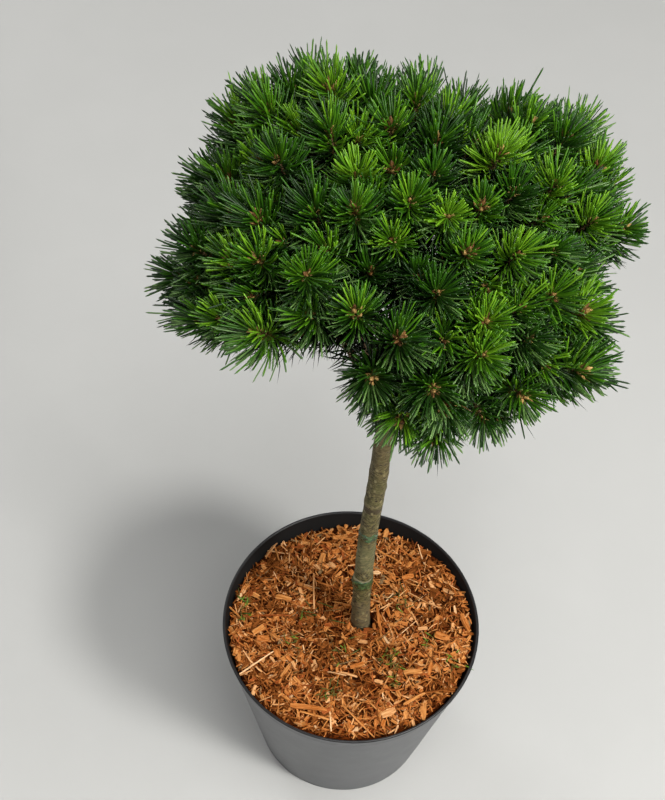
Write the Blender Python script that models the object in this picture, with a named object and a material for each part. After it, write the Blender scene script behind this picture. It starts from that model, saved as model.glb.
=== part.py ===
"""A dwarf pine grafted on a bare stem, standing in a round nursery pot with bark mulch.

Units are metres and +Z is up. The origin is the middle of the pot's flat underside, +X points to
the right and +Y to the back. The crown is a flattened dome of shoots. Each shoot ends in a
rosette of needles, and the shoots are gathered in masses, one to each bough.
"""

import math
import random
from typing import NamedTuple

import bmesh
import bpy
from mathutils import Matrix, Vector

MM = 0.001
UP = Vector((0.0, 0.0, 1.0))
GOLDEN_ANGLE = math.pi * (3.0 - math.sqrt(5.0))
CROWN_SEED = 41
NEEDLE_SEED = 42
MULCH_SEED = 43

# Gap left between neighbouring solids, and between the fill and the pot's flat facets
CLEARANCE = 0.3 * MM
WALL_GAP = 1.05 * CLEARANCE

# Pot
POT_HEIGHT = 160 * MM
RIM_RADIUS = 92 * MM
BASE_RADIUS = 65 * MM
FLOOR_THICKNESS = 3 * MM
WALL_THICKNESS = 1.8 * MM
RIM_BAND_HEIGHT = 12 * MM
RIM_BAND_PROUD = 1.2 * MM
RIM_BAND_SLOPE = 1 * MM
LIP_THICKNESS = 2.6 * MM
LIP_ROUNDING = 1 * MM
LIP_OVERHANG = 0.7 * MM
FOOT_ROUNDING = 2 * MM
POT_SIDES = 40

# Soil and mulch
SOIL_TOP = 130 * MM
MULCH_BACK = 146 * MM
MULCH_FRONT = 155 * MM
MULCH_UNEVENNESS = 1.3 * MM
MULCH_WAVES = (11 * MM, 13 * MM, 6 * MM)
MULCH_RINGS = 3
TRUNK_HOLLOW_RADIUS = 10.6 * MM
TRUNK_HOLLOW_DEPTH = 4 * MM
TRUNK_HOLLOW_WIDENING = 1.1
CHIP_COUNT = 24
CHIP_LENGTH = (9 * MM, 19 * MM)
CHIP_WIDTH = 0.38
CHIP_THICKNESS = 2.2 * MM
CHIP_TILT = math.radians(12)
CHIP_TRUNK_SPACING = 0.8
CHIP_WALL_CLEARANCE = 3 * MM

# Trunk, from its flat cut on the soil to the tip above the last whorl of boughs
TRUNK_X = 3.2 * MM
TRUNK_Y = 8 * MM
TRUNK_LEAN = 6.4 * MM
TRUNK_TOP = 515 * MM
TRUNK_FOOT_RADIUS = 6.7 * MM
TRUNK_NECK_RADIUS = 5.2 * MM
TRUNK_TIP_RADIUS = 4.0 * MM
TRUNK_SIDES = 12
TRUNK_RINGS = 20
ROOT_FLARE = 2.2 * MM
ROOT_FLARE_HEIGHT = 11 * MM
FOOT_SWEEP = 3.8 * MM
FOOT_SWEEP_HEIGHT = 35 * MM
TRUNK_BEND = 0.45 * MM
TRUNK_BEND_TURNS = 2.0
GRAFT_SWELLING = 1.4 * MM
GRAFT_HEIGHT = 452 * MM
GRAFT_LENGTH = 20 * MM
SCAR_SWELLING = 0.8 * MM
SCAR_HEIGHT = 206 * MM
SCAR_LENGTH = 5 * MM
BARK_RING_SWELLING = 0.45 * MM
BARK_RING_HEIGHT = 318 * MM
BARK_RING_LENGTH = 4 * MM

# Bands of plant tie that sit snugly round the trunk
TIE_HEIGHTS = {"tie_lower": 213 * MM, "tie_upper": 278 * MM}
TIE_WIDTH = 12 * MM
TIE_THICKNESS = 0.7 * MM

# Crown: the dome on which the buds lie, and where its boughs leave the trunk
CROWN_HEART = Vector((5 * MM, 14 * MM, 570 * MM))
CROWN_REACH = Vector((110 * MM, 105 * MM, 74 * MM))
WHORL_HEIGHTS = {"lower": 466 * MM, "middle": 484 * MM, "top": 502 * MM}
WHORL_STAGGER = 6 * MM
HUB_HEIGHT = 500 * MM

BOUGH_BASE_RADIUS = 2.5 * MM
BOUGH_TIP_RADIUS = 1.9 * MM
BOUGH_SIDES = 5
BOUGH_STEPS = 4
BOUGH_START_PULL = 0.25
BOUGH_END_PULL = 0.45
BOUGH_COLLAR = 1.5 * MM
BOUGH_END = 0.46
STEM_END = 0.74
STEM_STEPS = 3
STEM_KNEE = 0.4
STEM_TIP_RADIUS = 1.3 * MM
TWIG_RADII = [1.3 * MM, 1.2 * MM, 1.1 * MM]
TWIG_SIDES = 3
TWIG_FORKS = (0.55, 0.97)
TWIG_SAG = 3 * MM
TWIG_REACH = 2 * MM
TWIG_SINK = 3 * MM

# Shoots: how many buds lie on the dome, how low they reach, and how unevenly they lie
SHOOT_COUNT = 99
LOWEST_BUD = math.radians(-12)
BUD_UNEVENNESS = math.radians(4)
REACH_UNEVENNESS = 0.06

# Hollows in the dome where no shoot grows: azimuth, elevation and radius in degrees
HOLLOWS = (
    (-118, -4, 21),
    (-104, 18, 9),
    (-140, -8, 8),
    (-6, 1, 10),
    (60, 42, 9),
)

# Swells and dips of the dome: azimuth, elevation and radius in degrees, and the gain in reach
SWELLS = (
    (62, 32, 10, -0.10),
    (79, 32, 11, -0.16),
    (97, 36, 7, 0.07),
    (105, 34, 6, -0.08),
    (122, 28, 9, 0.07),
    (138, 31, 9, 0.11),
    (151, 26, 7, -0.07),
    (178, 6, 12, -0.21),
    (-159, -4, 11, 0.13),
    (-117, 30, 10, -0.08),
    (8, 14, 12, 0.03),
    (7, 4, 9, -0.18),
    (-16, 24, 8, -0.08),
    (-34, -9, 18, 0.10),
    (-77, -12, 11, 0.20),
    (-99, 6, 10, -0.15),
    (-97, 55, 8, -0.30),
    (152, 79, 10, -0.28),
    (-60, 14, 7, -0.22),
)

# A rosette of needles round the last stretch of a shoot
SHOOT_LENGTH = 21 * MM
SHOOT_RADII = (2.2 * MM, 4.0 * MM, 4.2 * MM, 2.2 * MM)
SHOOT_SIDES = 5
SHOOT_LIFT = 0.7
SHOOT_SPREAD = 0.5
BUD_LENGTH = 8 * MM
NEEDLE_LENGTH = (29 * MM, 22 * MM)
NEEDLE_UNEVENNESS = 0.1
NEEDLE_OPENING = (math.radians(80), math.radians(24))

# Narrower openings and shorter lengths that are tried where a needle would leave its space
OPENING_TRIALS = (1.0, 0.8, 0.6)
LENGTH_TRIALS = (1.0, 0.85, 0.7, 0.58)


class Mass(NamedTuple):
    """Where a mass of foliage lies on the dome, in degrees seen from the crown's heart."""

    tier: str
    azimuth: float
    elevation: float
    reach: float


MASSES = {
    "lower_left": Mass("lower", -156, 2, 1.03),
    "lower_front": Mass("lower", -86, 0, 0.94),
    "lower_front_right": Mass("lower", -45, 0, 1.00),
    "lower_right": Mass("lower", -8, 0, 0.97),
    "lower_back_right": Mass("lower", 42, 0, 1.00),
    "lower_back": Mass("lower", 96, 0, 0.90),
    "lower_back_left": Mass("lower", 147, 0, 0.96),
    "left": Mass("middle", -178, 33, 0.95),
    "front_left": Mass("middle", -128, 33, 1.00),
    "front": Mass("middle", -81, 36, 1.00),
    "front_right": Mass("middle", -36, 36, 1.00),
    "right": Mass("middle", 10, 30, 1.07),
    "back_right": Mass("middle", 42, 34, 1.07),
    "back": Mass("middle", 86, 30, 0.92),
    "back_left": Mass("middle", 128, 35, 1.06),
    "top_left": Mass("top", -170, 64, 1.00),
    "top_front": Mass("top", -90, 68, 0.98),
    "top_right": Mass("top", -2, 64, 1.00),
    "top_back": Mass("top", 86, 64, 0.93),
}


class Limb(NamedTuple):
    """A tapering limb: its centre line and the radius at each point of it."""

    points: list
    radii: list


def mix(start, end, share):
    """The value a share of the way from start to end."""
    return start + (end - start) * share


def bump(value, middle, width):
    """A smooth hump of height one round the middle."""
    return math.exp(-(((value - middle) / width) ** 2))


def make_material(name, colour, roughness):
    """A Principled material of one plain colour, as nothing on the plant is metal."""
    material = bpy.data.materials.new(name)
    material.use_nodes = True
    shader = material.node_tree.nodes["Principled BSDF"]
    shader.inputs["Base Color"].default_value = (*colour, 1.0)
    shader.inputs["Roughness"].default_value = roughness
    shader.inputs["Metallic"].default_value = 0.0
    material.diffuse_color = (*colour, 1.0)
    return material


def make_object(name, bm, material):
    """Turns a bmesh into an object of the scene and frees it."""
    bmesh.ops.recalc_face_normals(bm, faces=bm.faces)
    mesh = bpy.data.meshes.new(name)
    bm.to_mesh(mesh)
    bm.free()
    mesh.materials.append(material)
    mesh.set_sharp_from_angle(angle=math.radians(40))
    result = bpy.data.objects.new(name, mesh)
    bpy.context.scene.collection.objects.link(result)
    return result


def add_loft(bm, rings):
    """Skins rings of points, all of one count, and closes both ends."""
    loops = [[bm.verts.new(point) for point in ring] for ring in rings]
    count = len(rings[0])
    for below, above in zip(loops, loops[1:]):
        for i in range(count):
            j = (i + 1) % count
            bm.faces.new((below[i], below[j], above[j], above[i]))
    bm.faces.new(list(reversed(loops[0])))
    bm.faces.new(loops[-1])


def add_turned(bm, profile, sides):
    """Turns a closed profile of (radius, height) that starts and ends on the axis."""
    start = bm.verts.new((0.0, 0.0, profile[0][1]))
    end = bm.verts.new((0.0, 0.0, profile[-1][1]))
    loops = []
    for radius, height in profile[1:-1]:
        loops.append([bm.verts.new(round_point(radius, i, sides, height)) for i in range(sides)])
    for i in range(sides):
        j = (i + 1) % sides
        bm.faces.new((start, loops[0][j], loops[0][i]))
        bm.faces.new((end, loops[-1][i], loops[-1][j]))
        for below, above in zip(loops, loops[1:]):
            bm.faces.new((below[i], below[j], above[j], above[i]))


def round_point(radius, index, sides, height):
    """A point of a round of so many sides about the pot's axis."""
    angle = 2.0 * math.pi * index / sides
    return Vector((radius * math.cos(angle), radius * math.sin(angle), height))


def pot_inner_radius(height):
    """The radius of the pot's inner wall at a height."""
    share = (height - FLOOR_THICKNESS) / (POT_HEIGHT - FLOOR_THICKNESS)
    return mix(BASE_RADIUS - WALL_THICKNESS, RIM_RADIUS - LIP_THICKNESS, share)


def make_pot(material):
    """The thin pot: a tapering wall, a low band under the rim and a rolled lip."""
    band_foot = POT_HEIGHT - RIM_BAND_HEIGHT
    lip_foot = POT_HEIGHT - LIP_THICKNESS
    lip_middle = POT_HEIGHT - LIP_THICKNESS / 2
    lip_inside = POT_HEIGHT - LIP_ROUNDING
    wall_top = RIM_RADIUS - LIP_THICKNESS - LIP_OVERHANG
    profile = [
        (0.0, 0.0),
        (BASE_RADIUS - FOOT_ROUNDING, 0.0),
        (BASE_RADIUS, FOOT_ROUNDING),
        (wall_top, band_foot - RIM_BAND_SLOPE),
        (wall_top + RIM_BAND_PROUD, band_foot),
        (RIM_RADIUS - LIP_ROUNDING, lip_foot),
        (RIM_RADIUS, lip_middle),
        (RIM_RADIUS - LIP_ROUNDING, POT_HEIGHT),
        (RIM_RADIUS - 2 * LIP_ROUNDING, POT_HEIGHT),
        (pot_inner_radius(lip_inside), lip_inside),
        (pot_inner_radius(FLOOR_THICKNESS), FLOOR_THICKNESS),
        (0.0, FLOOR_THICKNESS),
    ]
    bm = bmesh.new()
    add_turned(bm, profile, POT_SIDES)
    return make_object("pot", bm, material)


def fill_radius(height):
    """How far soil or mulch reaches at a height, just clear of the pot's wall."""
    return pot_inner_radius(height) - WALL_GAP


def make_soil(material):
    """The soil below the mulch, a plain frustum with a level top."""
    foot = FLOOR_THICKNESS + CLEARANCE
    bm = bmesh.new()
    rings = []
    for height in (foot, SOIL_TOP):
        rings.append([round_point(fill_radius(height), i, POT_SIDES, height) for i in range(POT_SIDES)])
    add_loft(bm, rings)
    return make_object("soil", bm, material)


def mulch_height(x, y):
    """The mulch's surface, which lies higher at the front, with small humps."""
    share = 0.5 - 0.5 * y / fill_radius(MULCH_BACK)
    wide, deep, slant = MULCH_WAVES
    humps = math.sin(x / wide + 1.3) * math.cos(y / deep) + 0.6 * math.sin((x - y) / slant)
    return mix(MULCH_BACK, MULCH_FRONT, share) + MULCH_UNEVENNESS * humps


def make_mulch(material, rng):
    """The layer of bark chips round the trunk's foot, with larger chips fused on it."""
    trunk = trunk_centre(SOIL_TOP)
    trunk.z = 0.0
    foot = SOIL_TOP + CLEARANCE
    rings = [[], []]
    for i in range(POT_SIDES):
        spoke = round_point(TRUNK_HOLLOW_RADIUS, i, POT_SIDES, 0.0)
        rings[0].append(trunk + spoke + UP * foot)
        brink = trunk + spoke * TRUNK_HOLLOW_WIDENING
        rings[1].append(brink + UP * (mulch_height(brink.x, brink.y) - TRUNK_HOLLOW_DEPTH))
    for k in range(1, MULCH_RINGS + 1):
        share = k / MULCH_RINGS
        ring = []
        for i in range(POT_SIDES):
            inner = trunk + round_point(TRUNK_HOLLOW_RADIUS * TRUNK_HOLLOW_WIDENING, i, POT_SIDES, 0.0)
            outer = round_point(fill_radius(MULCH_BACK), i, POT_SIDES, 0.0)
            place = mix(inner, outer, share)
            height = mulch_height(place.x, place.y)
            if k == MULCH_RINGS:
                place = round_point(fill_radius(height), i, POT_SIDES, 0.0)
            ring.append(place + UP * height)
        rings.append(ring)
    rings.append([round_point(fill_radius(foot), i, POT_SIDES, foot) for i in range(POT_SIDES)])

    bm = bmesh.new()
    loops = [[bm.verts.new(point) for point in ring] for ring in rings]
    for below, above in zip(loops, loops[1:] + loops[:1]):
        for i in range(POT_SIDES):
            j = (i + 1) % POT_SIDES
            bm.faces.new((below[i], below[j], above[j], above[i]))
    layer = make_object("mulch", bm, material)
    chips = [make_chip(k, material, rng) for k in range(CHIP_COUNT)]
    return fuse(layer, chips)


def make_chip(index, material, rng):
    """One larger chip of bark, tilted and half sunk in the mulch."""
    length = rng.uniform(*CHIP_LENGTH)
    nearest = TRUNK_HOLLOW_RADIUS + CHIP_TRUNK_SPACING * length
    farthest = fill_radius(MULCH_BACK) - length / 2 - CHIP_WALL_CLEARANCE
    share = math.sqrt((index + 0.5) / CHIP_COUNT)
    angle = index * GOLDEN_ANGLE
    reach = mix(nearest, farthest, share)
    trunk_pull = 1.0 - share
    x = reach * math.cos(angle) + (TRUNK_X + FOOT_SWEEP) * trunk_pull
    y = reach * math.sin(angle) + TRUNK_Y * trunk_pull
    turn = Matrix.Rotation(rng.uniform(0.0, 2.0 * math.pi), 4, "Z")
    tip = Matrix.Rotation(rng.uniform(-CHIP_TILT, CHIP_TILT), 4, "X")
    roll = Matrix.Rotation(rng.uniform(-CHIP_TILT, CHIP_TILT), 4, "Y")
    size = Matrix.Diagonal((length, length * CHIP_WIDTH, CHIP_THICKNESS, 1.0))
    place = Matrix.Translation((x, y, mulch_height(x, y)))
    bm = bmesh.new()
    bmesh.ops.create_cube(bm, size=1.0, matrix=place @ turn @ tip @ roll @ size)
    return make_object(f"chip_{index}", bm, material)


def trunk_centre(height):
    """The trunk's centre line, which leans a little to the right and sweeps right at its foot."""
    rise = (height - SOIL_TOP) / (TRUNK_TOP - SOIL_TOP)
    sweep = FOOT_SWEEP * math.exp(-(height - SOIL_TOP) / FOOT_SWEEP_HEIGHT)
    bend = TRUNK_BEND * math.sin(rise * 2.0 * math.pi * TRUNK_BEND_TURNS)
    return Vector((TRUNK_X + TRUNK_LEAN * rise + sweep + bend, TRUNK_Y, height))


def trunk_radius(height):
    """The trunk's radius, with its flare, its scar, its bark ring and the graft below the crown."""
    rise = (height - SOIL_TOP) / (TRUNK_TOP - SOIL_TOP)
    radius = mix(TRUNK_FOOT_RADIUS, TRUNK_NECK_RADIUS, rise)
    radius += ROOT_FLARE * math.exp(-(height - SOIL_TOP) / ROOT_FLARE_HEIGHT)
    radius += GRAFT_SWELLING * bump(height, GRAFT_HEIGHT, GRAFT_LENGTH)
    radius += SCAR_SWELLING * bump(height, SCAR_HEIGHT, SCAR_LENGTH)
    radius += BARK_RING_SWELLING * bump(height, BARK_RING_HEIGHT, BARK_RING_LENGTH)
    tip_share = max(0.0, (height - WHORL_HEIGHTS["top"]) / (TRUNK_TOP - WHORL_HEIGHTS["top"]))
    return mix(radius, TRUNK_TIP_RADIUS, tip_share)


HUB = trunk_centre(HUB_HEIGHT)


def make_trunk(material):
    """The bare stem, one limb from its flat cut to its tip among the boughs."""
    heights = {mix(SOIL_TOP + CLEARANCE, TRUNK_TOP, k / TRUNK_RINGS) for k in range(TRUNK_RINGS + 1)}
    heights |= {SOIL_TOP + ROOT_FLARE_HEIGHT / 2, SCAR_HEIGHT}
    heights |= {BARK_RING_HEIGHT + k * BARK_RING_LENGTH for k in (-1, 0, 1)}
    rings = []
    for height in sorted(heights):
        centre = trunk_centre(height)
        radius = trunk_radius(height)
        rings.append([centre + round_point(radius, i, TRUNK_SIDES, 0.0) for i in range(TRUNK_SIDES)])
    bm = bmesh.new()
    add_loft(bm, rings)
    return make_object("trunk", bm, material)


def make_tie(name, height, material):
    """A flat band of plant tie, just clear of the bark all round."""
    bm = bmesh.new()
    loops = []
    low = height - TIE_WIDTH / 2
    high = height + TIE_WIDTH / 2
    inner = max(trunk_radius(low), trunk_radius(height), trunk_radius(high)) + CLEARANCE
    outer = inner + TIE_THICKNESS
    for radius, level in ((inner, low), (outer, low), (outer, high), (inner, high)):
        centre = trunk_centre(height)
        centre.z = level
        sides = range(TRUNK_SIDES)
        loops.append([bm.verts.new(centre + round_point(radius, i, TRUNK_SIDES, 0.0)) for i in sides])
    for below, above in zip(loops, loops[1:] + loops[:1]):
        for i in range(TRUNK_SIDES):
            j = (i + 1) % TRUNK_SIDES
            bm.faces.new((below[i], below[j], above[j], above[i]))
    return make_object(name, bm, material)


def bezier(points, share):
    """A point of the curve that a list of control points draws."""
    while len(points) > 1:
        points = [mix(a, b, share) for a, b in zip(points, points[1:])]
    return points[0]


def frame_across(direction):
    """Two unit vectors square to a direction and to each other."""
    helper = UP if abs(direction.z) < 0.9 else Vector((1.0, 0.0, 0.0))
    side = direction.cross(helper).normalized()
    return side, direction.cross(side).normalized()


def limb_rings(limb, sides):
    """Rings of points along a limb, each square to its run."""
    rings = []
    count = len(limb.points)
    side = frame_across((limb.points[1] - limb.points[0]).normalized())[0]
    for k, centre in enumerate(limb.points):
        ahead = limb.points[min(k + 1, count - 1)]
        behind = limb.points[max(k - 1, 0)]
        direction = (ahead - behind).normalized()
        side = (side - direction * side.dot(direction)).normalized()
        across = direction.cross(side)
        ring = []
        for i in range(sides):
            angle = 2.0 * math.pi * i / sides
            spoke = side * math.cos(angle) + across * math.sin(angle)
            ring.append(centre + spoke * limb.radii[k])
        rings.append(ring)
    return rings


def make_limb(name, limb, sides, material):
    """One tapering limb as an object."""
    bm = bmesh.new()
    add_loft(bm, limb_rings(limb, sides))
    return make_object(name, bm, material)


def dome_direction(azimuth, elevation):
    """A unit vector from two angles in radians."""
    flat = math.cos(elevation)
    return Vector((math.cos(azimuth) * flat, math.sin(azimuth) * flat, math.sin(elevation)))


def bearing(azimuth, elevation):
    """A unit vector from two angles in degrees."""
    return dome_direction(math.radians(azimuth), math.radians(elevation))


def dome_point(direction, reach):
    """The point of the crown's dome that lies in a direction from its heart."""
    return CROWN_HEART + Vector(r * d for r, d in zip(CROWN_REACH, direction)) * reach


def mass_direction(mass):
    """The direction of a mass from the crown's heart."""
    return bearing(mass.azimuth, mass.elevation)


def mass_middle(mass):
    """The middle of a mass on the dome."""
    return dome_point(mass_direction(mass), mass.reach)


def plan_bough(mass, step):
    """A bough's centre line: level out of the trunk, then in a bow to its mass."""
    height = WHORL_HEIGHTS[mass.tier] + WHORL_STAGGER * (step % 2)
    centre = trunk_centre(height)
    target = mass_middle(mass)
    outward = Vector((target.x - centre.x, target.y - centre.y, 0.0)).normalized()
    start = centre + outward * (trunk_radius(height) + CLEARANCE)
    end = mix(HUB, target, BOUGH_END)
    heading = (target - HUB).normalized()
    length = (end - start).length
    knee = start + outward * BOUGH_START_PULL * length
    wrist = end - heading * BOUGH_END_PULL * length
    points = [bezier([start, knee, wrist, end], k / BOUGH_STEPS) for k in range(BOUGH_STEPS + 1)]
    points.insert(1, start + outward * BOUGH_COLLAR)
    points.insert(-1, end - heading * BOUGH_COLLAR)
    count = len(points) - 1
    radii = [mix(BOUGH_BASE_RADIUS, BOUGH_TIP_RADIUS, k / count) for k in range(count + 1)]
    return Limb(points, radii)


class Shoot(NamedTuple):
    """The last stretch of a twig: its bud, its heading, and the mass that it belongs to."""

    bud: Vector
    axis: Vector
    mass: str


class Space:
    """The space that one rosette keeps to: a cone that widens from the trunk's head."""

    def __init__(self, own, others):
        heading = (own.bud - HUB).normalized()
        rivals = [(other.bud - HUB).normalized() for other in others if other is not own]
        self.walls = [(rival - heading).normalized() for rival in rivals]

    def holds(self, point):
        """Whether a point lies inside and clear of the walls."""
        offset = point - HUB
        return all(offset.dot(wall) < -CLEARANCE for wall in self.walls)


def in_hollow(direction):
    """Whether a direction lies in one of the hollows where nothing grows."""
    return any(direction.angle(bearing(a, e)) < math.radians(r) for a, e, r in HOLLOWS)


def dome_swell(direction):
    """How far the swells and dips move the dome out in a direction, as a share of its reach."""
    return sum(gain * bump(direction.angle(bearing(a, e)), 0.0, math.radians(r)) for a, e, r, gain in SWELLS)


def plan_shoots(rng):
    """The buds, spread over the dome by the golden angle, each with the mass it lies nearest to."""
    shoots = []
    for k in range(SHOOT_COUNT):
        rise = mix(1.0, math.sin(LOWEST_BUD), (k + 0.5) / SHOOT_COUNT)
        elevation = math.asin(rise) + rng.uniform(-1.0, 1.0) * BUD_UNEVENNESS
        azimuth = k * GOLDEN_ANGLE + rng.uniform(-1.0, 1.0) * BUD_UNEVENNESS / math.cos(elevation)
        growth = 1.0 + rng.uniform(-1.0, 1.0) * REACH_UNEVENNESS
        direction = dome_direction(azimuth, elevation)
        if in_hollow(direction):
            continue
        name = max(MASSES, key=lambda key: direction.dot(mass_direction(MASSES[key])))
        bud = dome_point(direction, MASSES[name].reach * growth + dome_swell(direction))
        normal = Vector(d / r for d, r in zip(direction, CROWN_REACH)).normalized()
        axis = (normal + UP * SHOOT_LIFT + (bud - HUB).normalized() * SHOOT_SPREAD).normalized()
        shoots.append(Shoot(bud, axis, name))
    return shoots


def rosette_rings(shoot):
    """The slim core of a rosette: rings of points, each turned half a step from the last."""
    side, across = frame_across(shoot.axis)
    rings = []
    last = len(SHOOT_RADII) - 1
    for j, radius in enumerate(SHOOT_RADII):
        centre = shoot.bud - shoot.axis * SHOOT_LENGTH * (1.0 - j / last)
        ring = []
        for i in range(SHOOT_SIDES):
            angle = 2.0 * math.pi * (i + 0.5 * j) / SHOOT_SIDES
            ring.append(centre + (side * math.cos(angle) + across * math.sin(angle)) * radius)
        rings.append(ring)
    return rings


def core_columns():
    """The faces of a rosette's core as triangles of (ring, corner), grouped by the side they face."""
    columns = [[] for _ in range(2 * SHOOT_SIDES)]
    for j in range(len(SHOOT_RADII) - 1):
        for i in range(SHOOT_SIDES):
            k = (i + 1) % SHOOT_SIDES
            columns[(2 * i + j + 1) % (2 * SHOOT_SIDES)].append(((j, i), (j, k), (j + 1, i)))
            columns[(2 * i + j + 2) % (2 * SHOOT_SIDES)].append(((j + 1, i), (j, k), (j + 1, k)))
    return columns


def needle_tip(shoot, root, opening, share):
    """The tip of a needle: near the bud the needles are shorter and point more forward."""
    offset = root - shoot.bud
    rise = offset.dot(shoot.axis) / SHOOT_LENGTH + 1.0
    spoke = (offset - shoot.axis * offset.dot(shoot.axis)).normalized()
    angle = mix(*NEEDLE_OPENING, rise) * opening
    length = mix(*NEEDLE_LENGTH, rise) * share
    return root + (shoot.axis * math.cos(angle) + spoke * math.sin(angle)) * length


def plan_needles(shoot, rings, space, rng):
    """Pairs of a core face and its needle's tip, or None where no needle fits the space.

    The needles that face one way share the widest opening that lets most of them in.
    """
    needles = []
    for column in core_columns():
        roots = [sum((rings[j][i] for j, i in corners), Vector()) / 3.0 for corners in column]
        shares = [1.0 + NEEDLE_UNEVENNESS * rng.uniform(-1.0, 1.0) for _ in column]
        best = [None] * len(column)
        for opening in OPENING_TRIALS:
            tips = []
            for root, share in zip(roots, shares):
                trials = [needle_tip(shoot, root, opening, share * cut) for cut in LENGTH_TRIALS]
                tips.append(next((tip for tip in trials if space.holds(tip)), None))
            if tips.count(None) < best.count(None):
                best = tips
        needles += zip(column, best)
    return needles


def make_rosette(name, shoot, space, material, rng):
    """One rosette: the slim core, with a needle drawn out of each of its faces."""
    rings = rosette_rings(shoot)
    if not all(space.holds(point) for ring in rings for point in ring):
        return None
    bm = bmesh.new()
    verts = [[bm.verts.new(point) for point in ring] for ring in rings]
    for corners, tip in plan_needles(shoot, rings, space, rng):
        a, b, c = (verts[j][i] for j, i in corners)
        if tip is None:
            bm.faces.new((a, b, c))
            continue
        point = bm.verts.new(tip)
        for start, end in ((a, b), (b, c), (c, a)):
            bm.faces.new((start, end, point))
    bm.faces.new(list(reversed(verts[0])))
    crest = bm.verts.new(shoot.bud + shoot.axis * BUD_LENGTH)
    for i in range(SHOOT_SIDES):
        bm.faces.new((verts[-1][i], verts[-1][(i + 1) % SHOOT_SIDES], crest))
    return make_object(name, bm, material)


def make_foliage(name, mass, bough, shoots, material, rng):
    """One mass: a stem that carries on from the bough, twigs from it, and a rosette on each."""
    heading = (bough.points[-1] - bough.points[-2]).normalized()
    start = bough.points[-1] + heading * CLEARANCE
    end = mix(HUB, mass_middle(mass), STEM_END)
    outward = (end - start).normalized()
    knee = start + heading * STEM_KNEE * (end - start).length
    points = [bezier([start, knee, end], k / STEM_STEPS) for k in range(STEM_STEPS + 1)]
    radii = [mix(BOUGH_TIP_RADIUS, STEM_TIP_RADIUS, k / STEM_STEPS) for k in range(STEM_STEPS + 1)]
    stem = make_limb(f"foliage_{name}", Limb(points, radii), SHOOT_SIDES, material)
    pieces = []
    own = [shoot for shoot in shoots if shoot.mass == name]
    for k, shoot in enumerate(own):
        rosette = make_rosette(f"{name}_rosette_{k}", shoot, Space(shoot, shoots), material, rng)
        if rosette is None:
            continue
        fork = bezier([start, knee, end], mix(*TWIG_FORKS, k / len(own)))
        foot = shoot.bud - shoot.axis * (SHOOT_LENGTH - TWIG_SINK)
        bend = mix(fork, foot, 0.5) - shoot.axis * TWIG_SAG + outward * TWIG_REACH
        twig = Limb([fork, bezier([fork, bend, foot], 0.5), foot], TWIG_RADII)
        pieces.append(make_limb(f"{name}_twig_{k}", twig, TWIG_SIDES, material))
        pieces.append(rosette)
    return fuse(stem, pieces)


def fuse(body, pieces):
    """Joins the pieces to the body by one Boolean union and keeps the single solid it gives."""
    scene = bpy.context.scene
    collection = bpy.data.collections.new(body.name + "_pieces")
    scene.collection.children.link(collection)
    for piece in pieces:
        scene.collection.objects.unlink(piece)
        collection.objects.link(piece)
    union = body.modifiers.new("Fuse", "BOOLEAN")
    union.operation = "UNION"
    union.operand_type = "COLLECTION"
    union.collection = collection
    union.solver = "EXACT"
    evaluated = body.evaluated_get(bpy.context.evaluated_depsgraph_get())
    mesh = bpy.data.meshes.new_from_object(evaluated)
    body.modifiers.clear()
    for piece in pieces:
        bpy.data.objects.remove(piece)
    bpy.data.collections.remove(collection)
    keep_largest_shell(mesh)
    mesh.set_sharp_from_angle(angle=math.radians(40))
    body.data = mesh
    return body


def keep_largest_shell(mesh):
    """Drops loose scraps and sealed hollows, which are shells of their own."""
    bm = bmesh.new()
    bm.from_mesh(mesh)
    unseen = set(bm.verts)
    shells = []
    while unseen:
        shell = {unseen.pop()}
        edge = set(shell)
        while edge:
            edge = {e.other_vert(v) for v in edge for e in v.link_edges} - shell
            shell |= edge
        unseen -= shell
        shells.append(shell)
    largest = max(shells, key=len)
    bmesh.ops.delete(bm, geom=[v for v in bm.verts if v not in largest], context="VERTS")
    bm.to_mesh(mesh)
    bm.free()


def main():
    """Builds the whole plant."""
    for old in list(bpy.data.objects):
        bpy.data.objects.remove(old)
    make_pot(make_material("pot plastic", (0.035, 0.037, 0.040), 0.38))
    make_soil(make_material("potting soil", (0.035, 0.022, 0.014), 0.95))
    make_mulch(make_material("bark mulch", (0.40, 0.16, 0.06), 0.85), random.Random(MULCH_SEED))
    make_trunk(make_material("trunk bark", (0.21, 0.19, 0.13), 0.85))
    for name, height in TIE_HEIGHTS.items():
        make_tie(name, height, make_material(name.replace("_", " "), (0.05, 0.19, 0.09), 0.35))

    shoots = plan_shoots(random.Random(CROWN_SEED))
    needle_rng = random.Random(NEEDLE_SEED)
    for step, (name, mass) in enumerate(MASSES.items()):
        bough = plan_bough(mass, step)
        bark = make_material(f"bough bark {name}", (0.14, 0.10, 0.06), 0.85)
        make_limb(f"bough_{name}", bough, BOUGH_SIDES, bark)
        green = make_material(f"needles {name}", (0.035, 0.14, 0.02), 0.5)
        make_foliage(name, mass, bough, shoots, green, needle_rng)


main()
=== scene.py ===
"""The looks of a dwarf pine, grafted as a standard on a bare stem, in a round nursery pot.

Units are metres and +Z is up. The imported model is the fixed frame. Its crown is a flattened dome of
shoots, and this file repeats the rule that lays out its masses and buds, and carries it on to side
shoots, needles, sheaths and buds. The bark, the mulch, the pot and its ties get their own relief.
"""

import logging
import random
from dataclasses import dataclass, field
from enum import Enum, IntEnum
from math import asin, cos, exp, hypot, pi, radians, sin, sqrt

import bmesh
import bpy
import numpy as np
from mathutils import Matrix, Vector, noise


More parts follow.
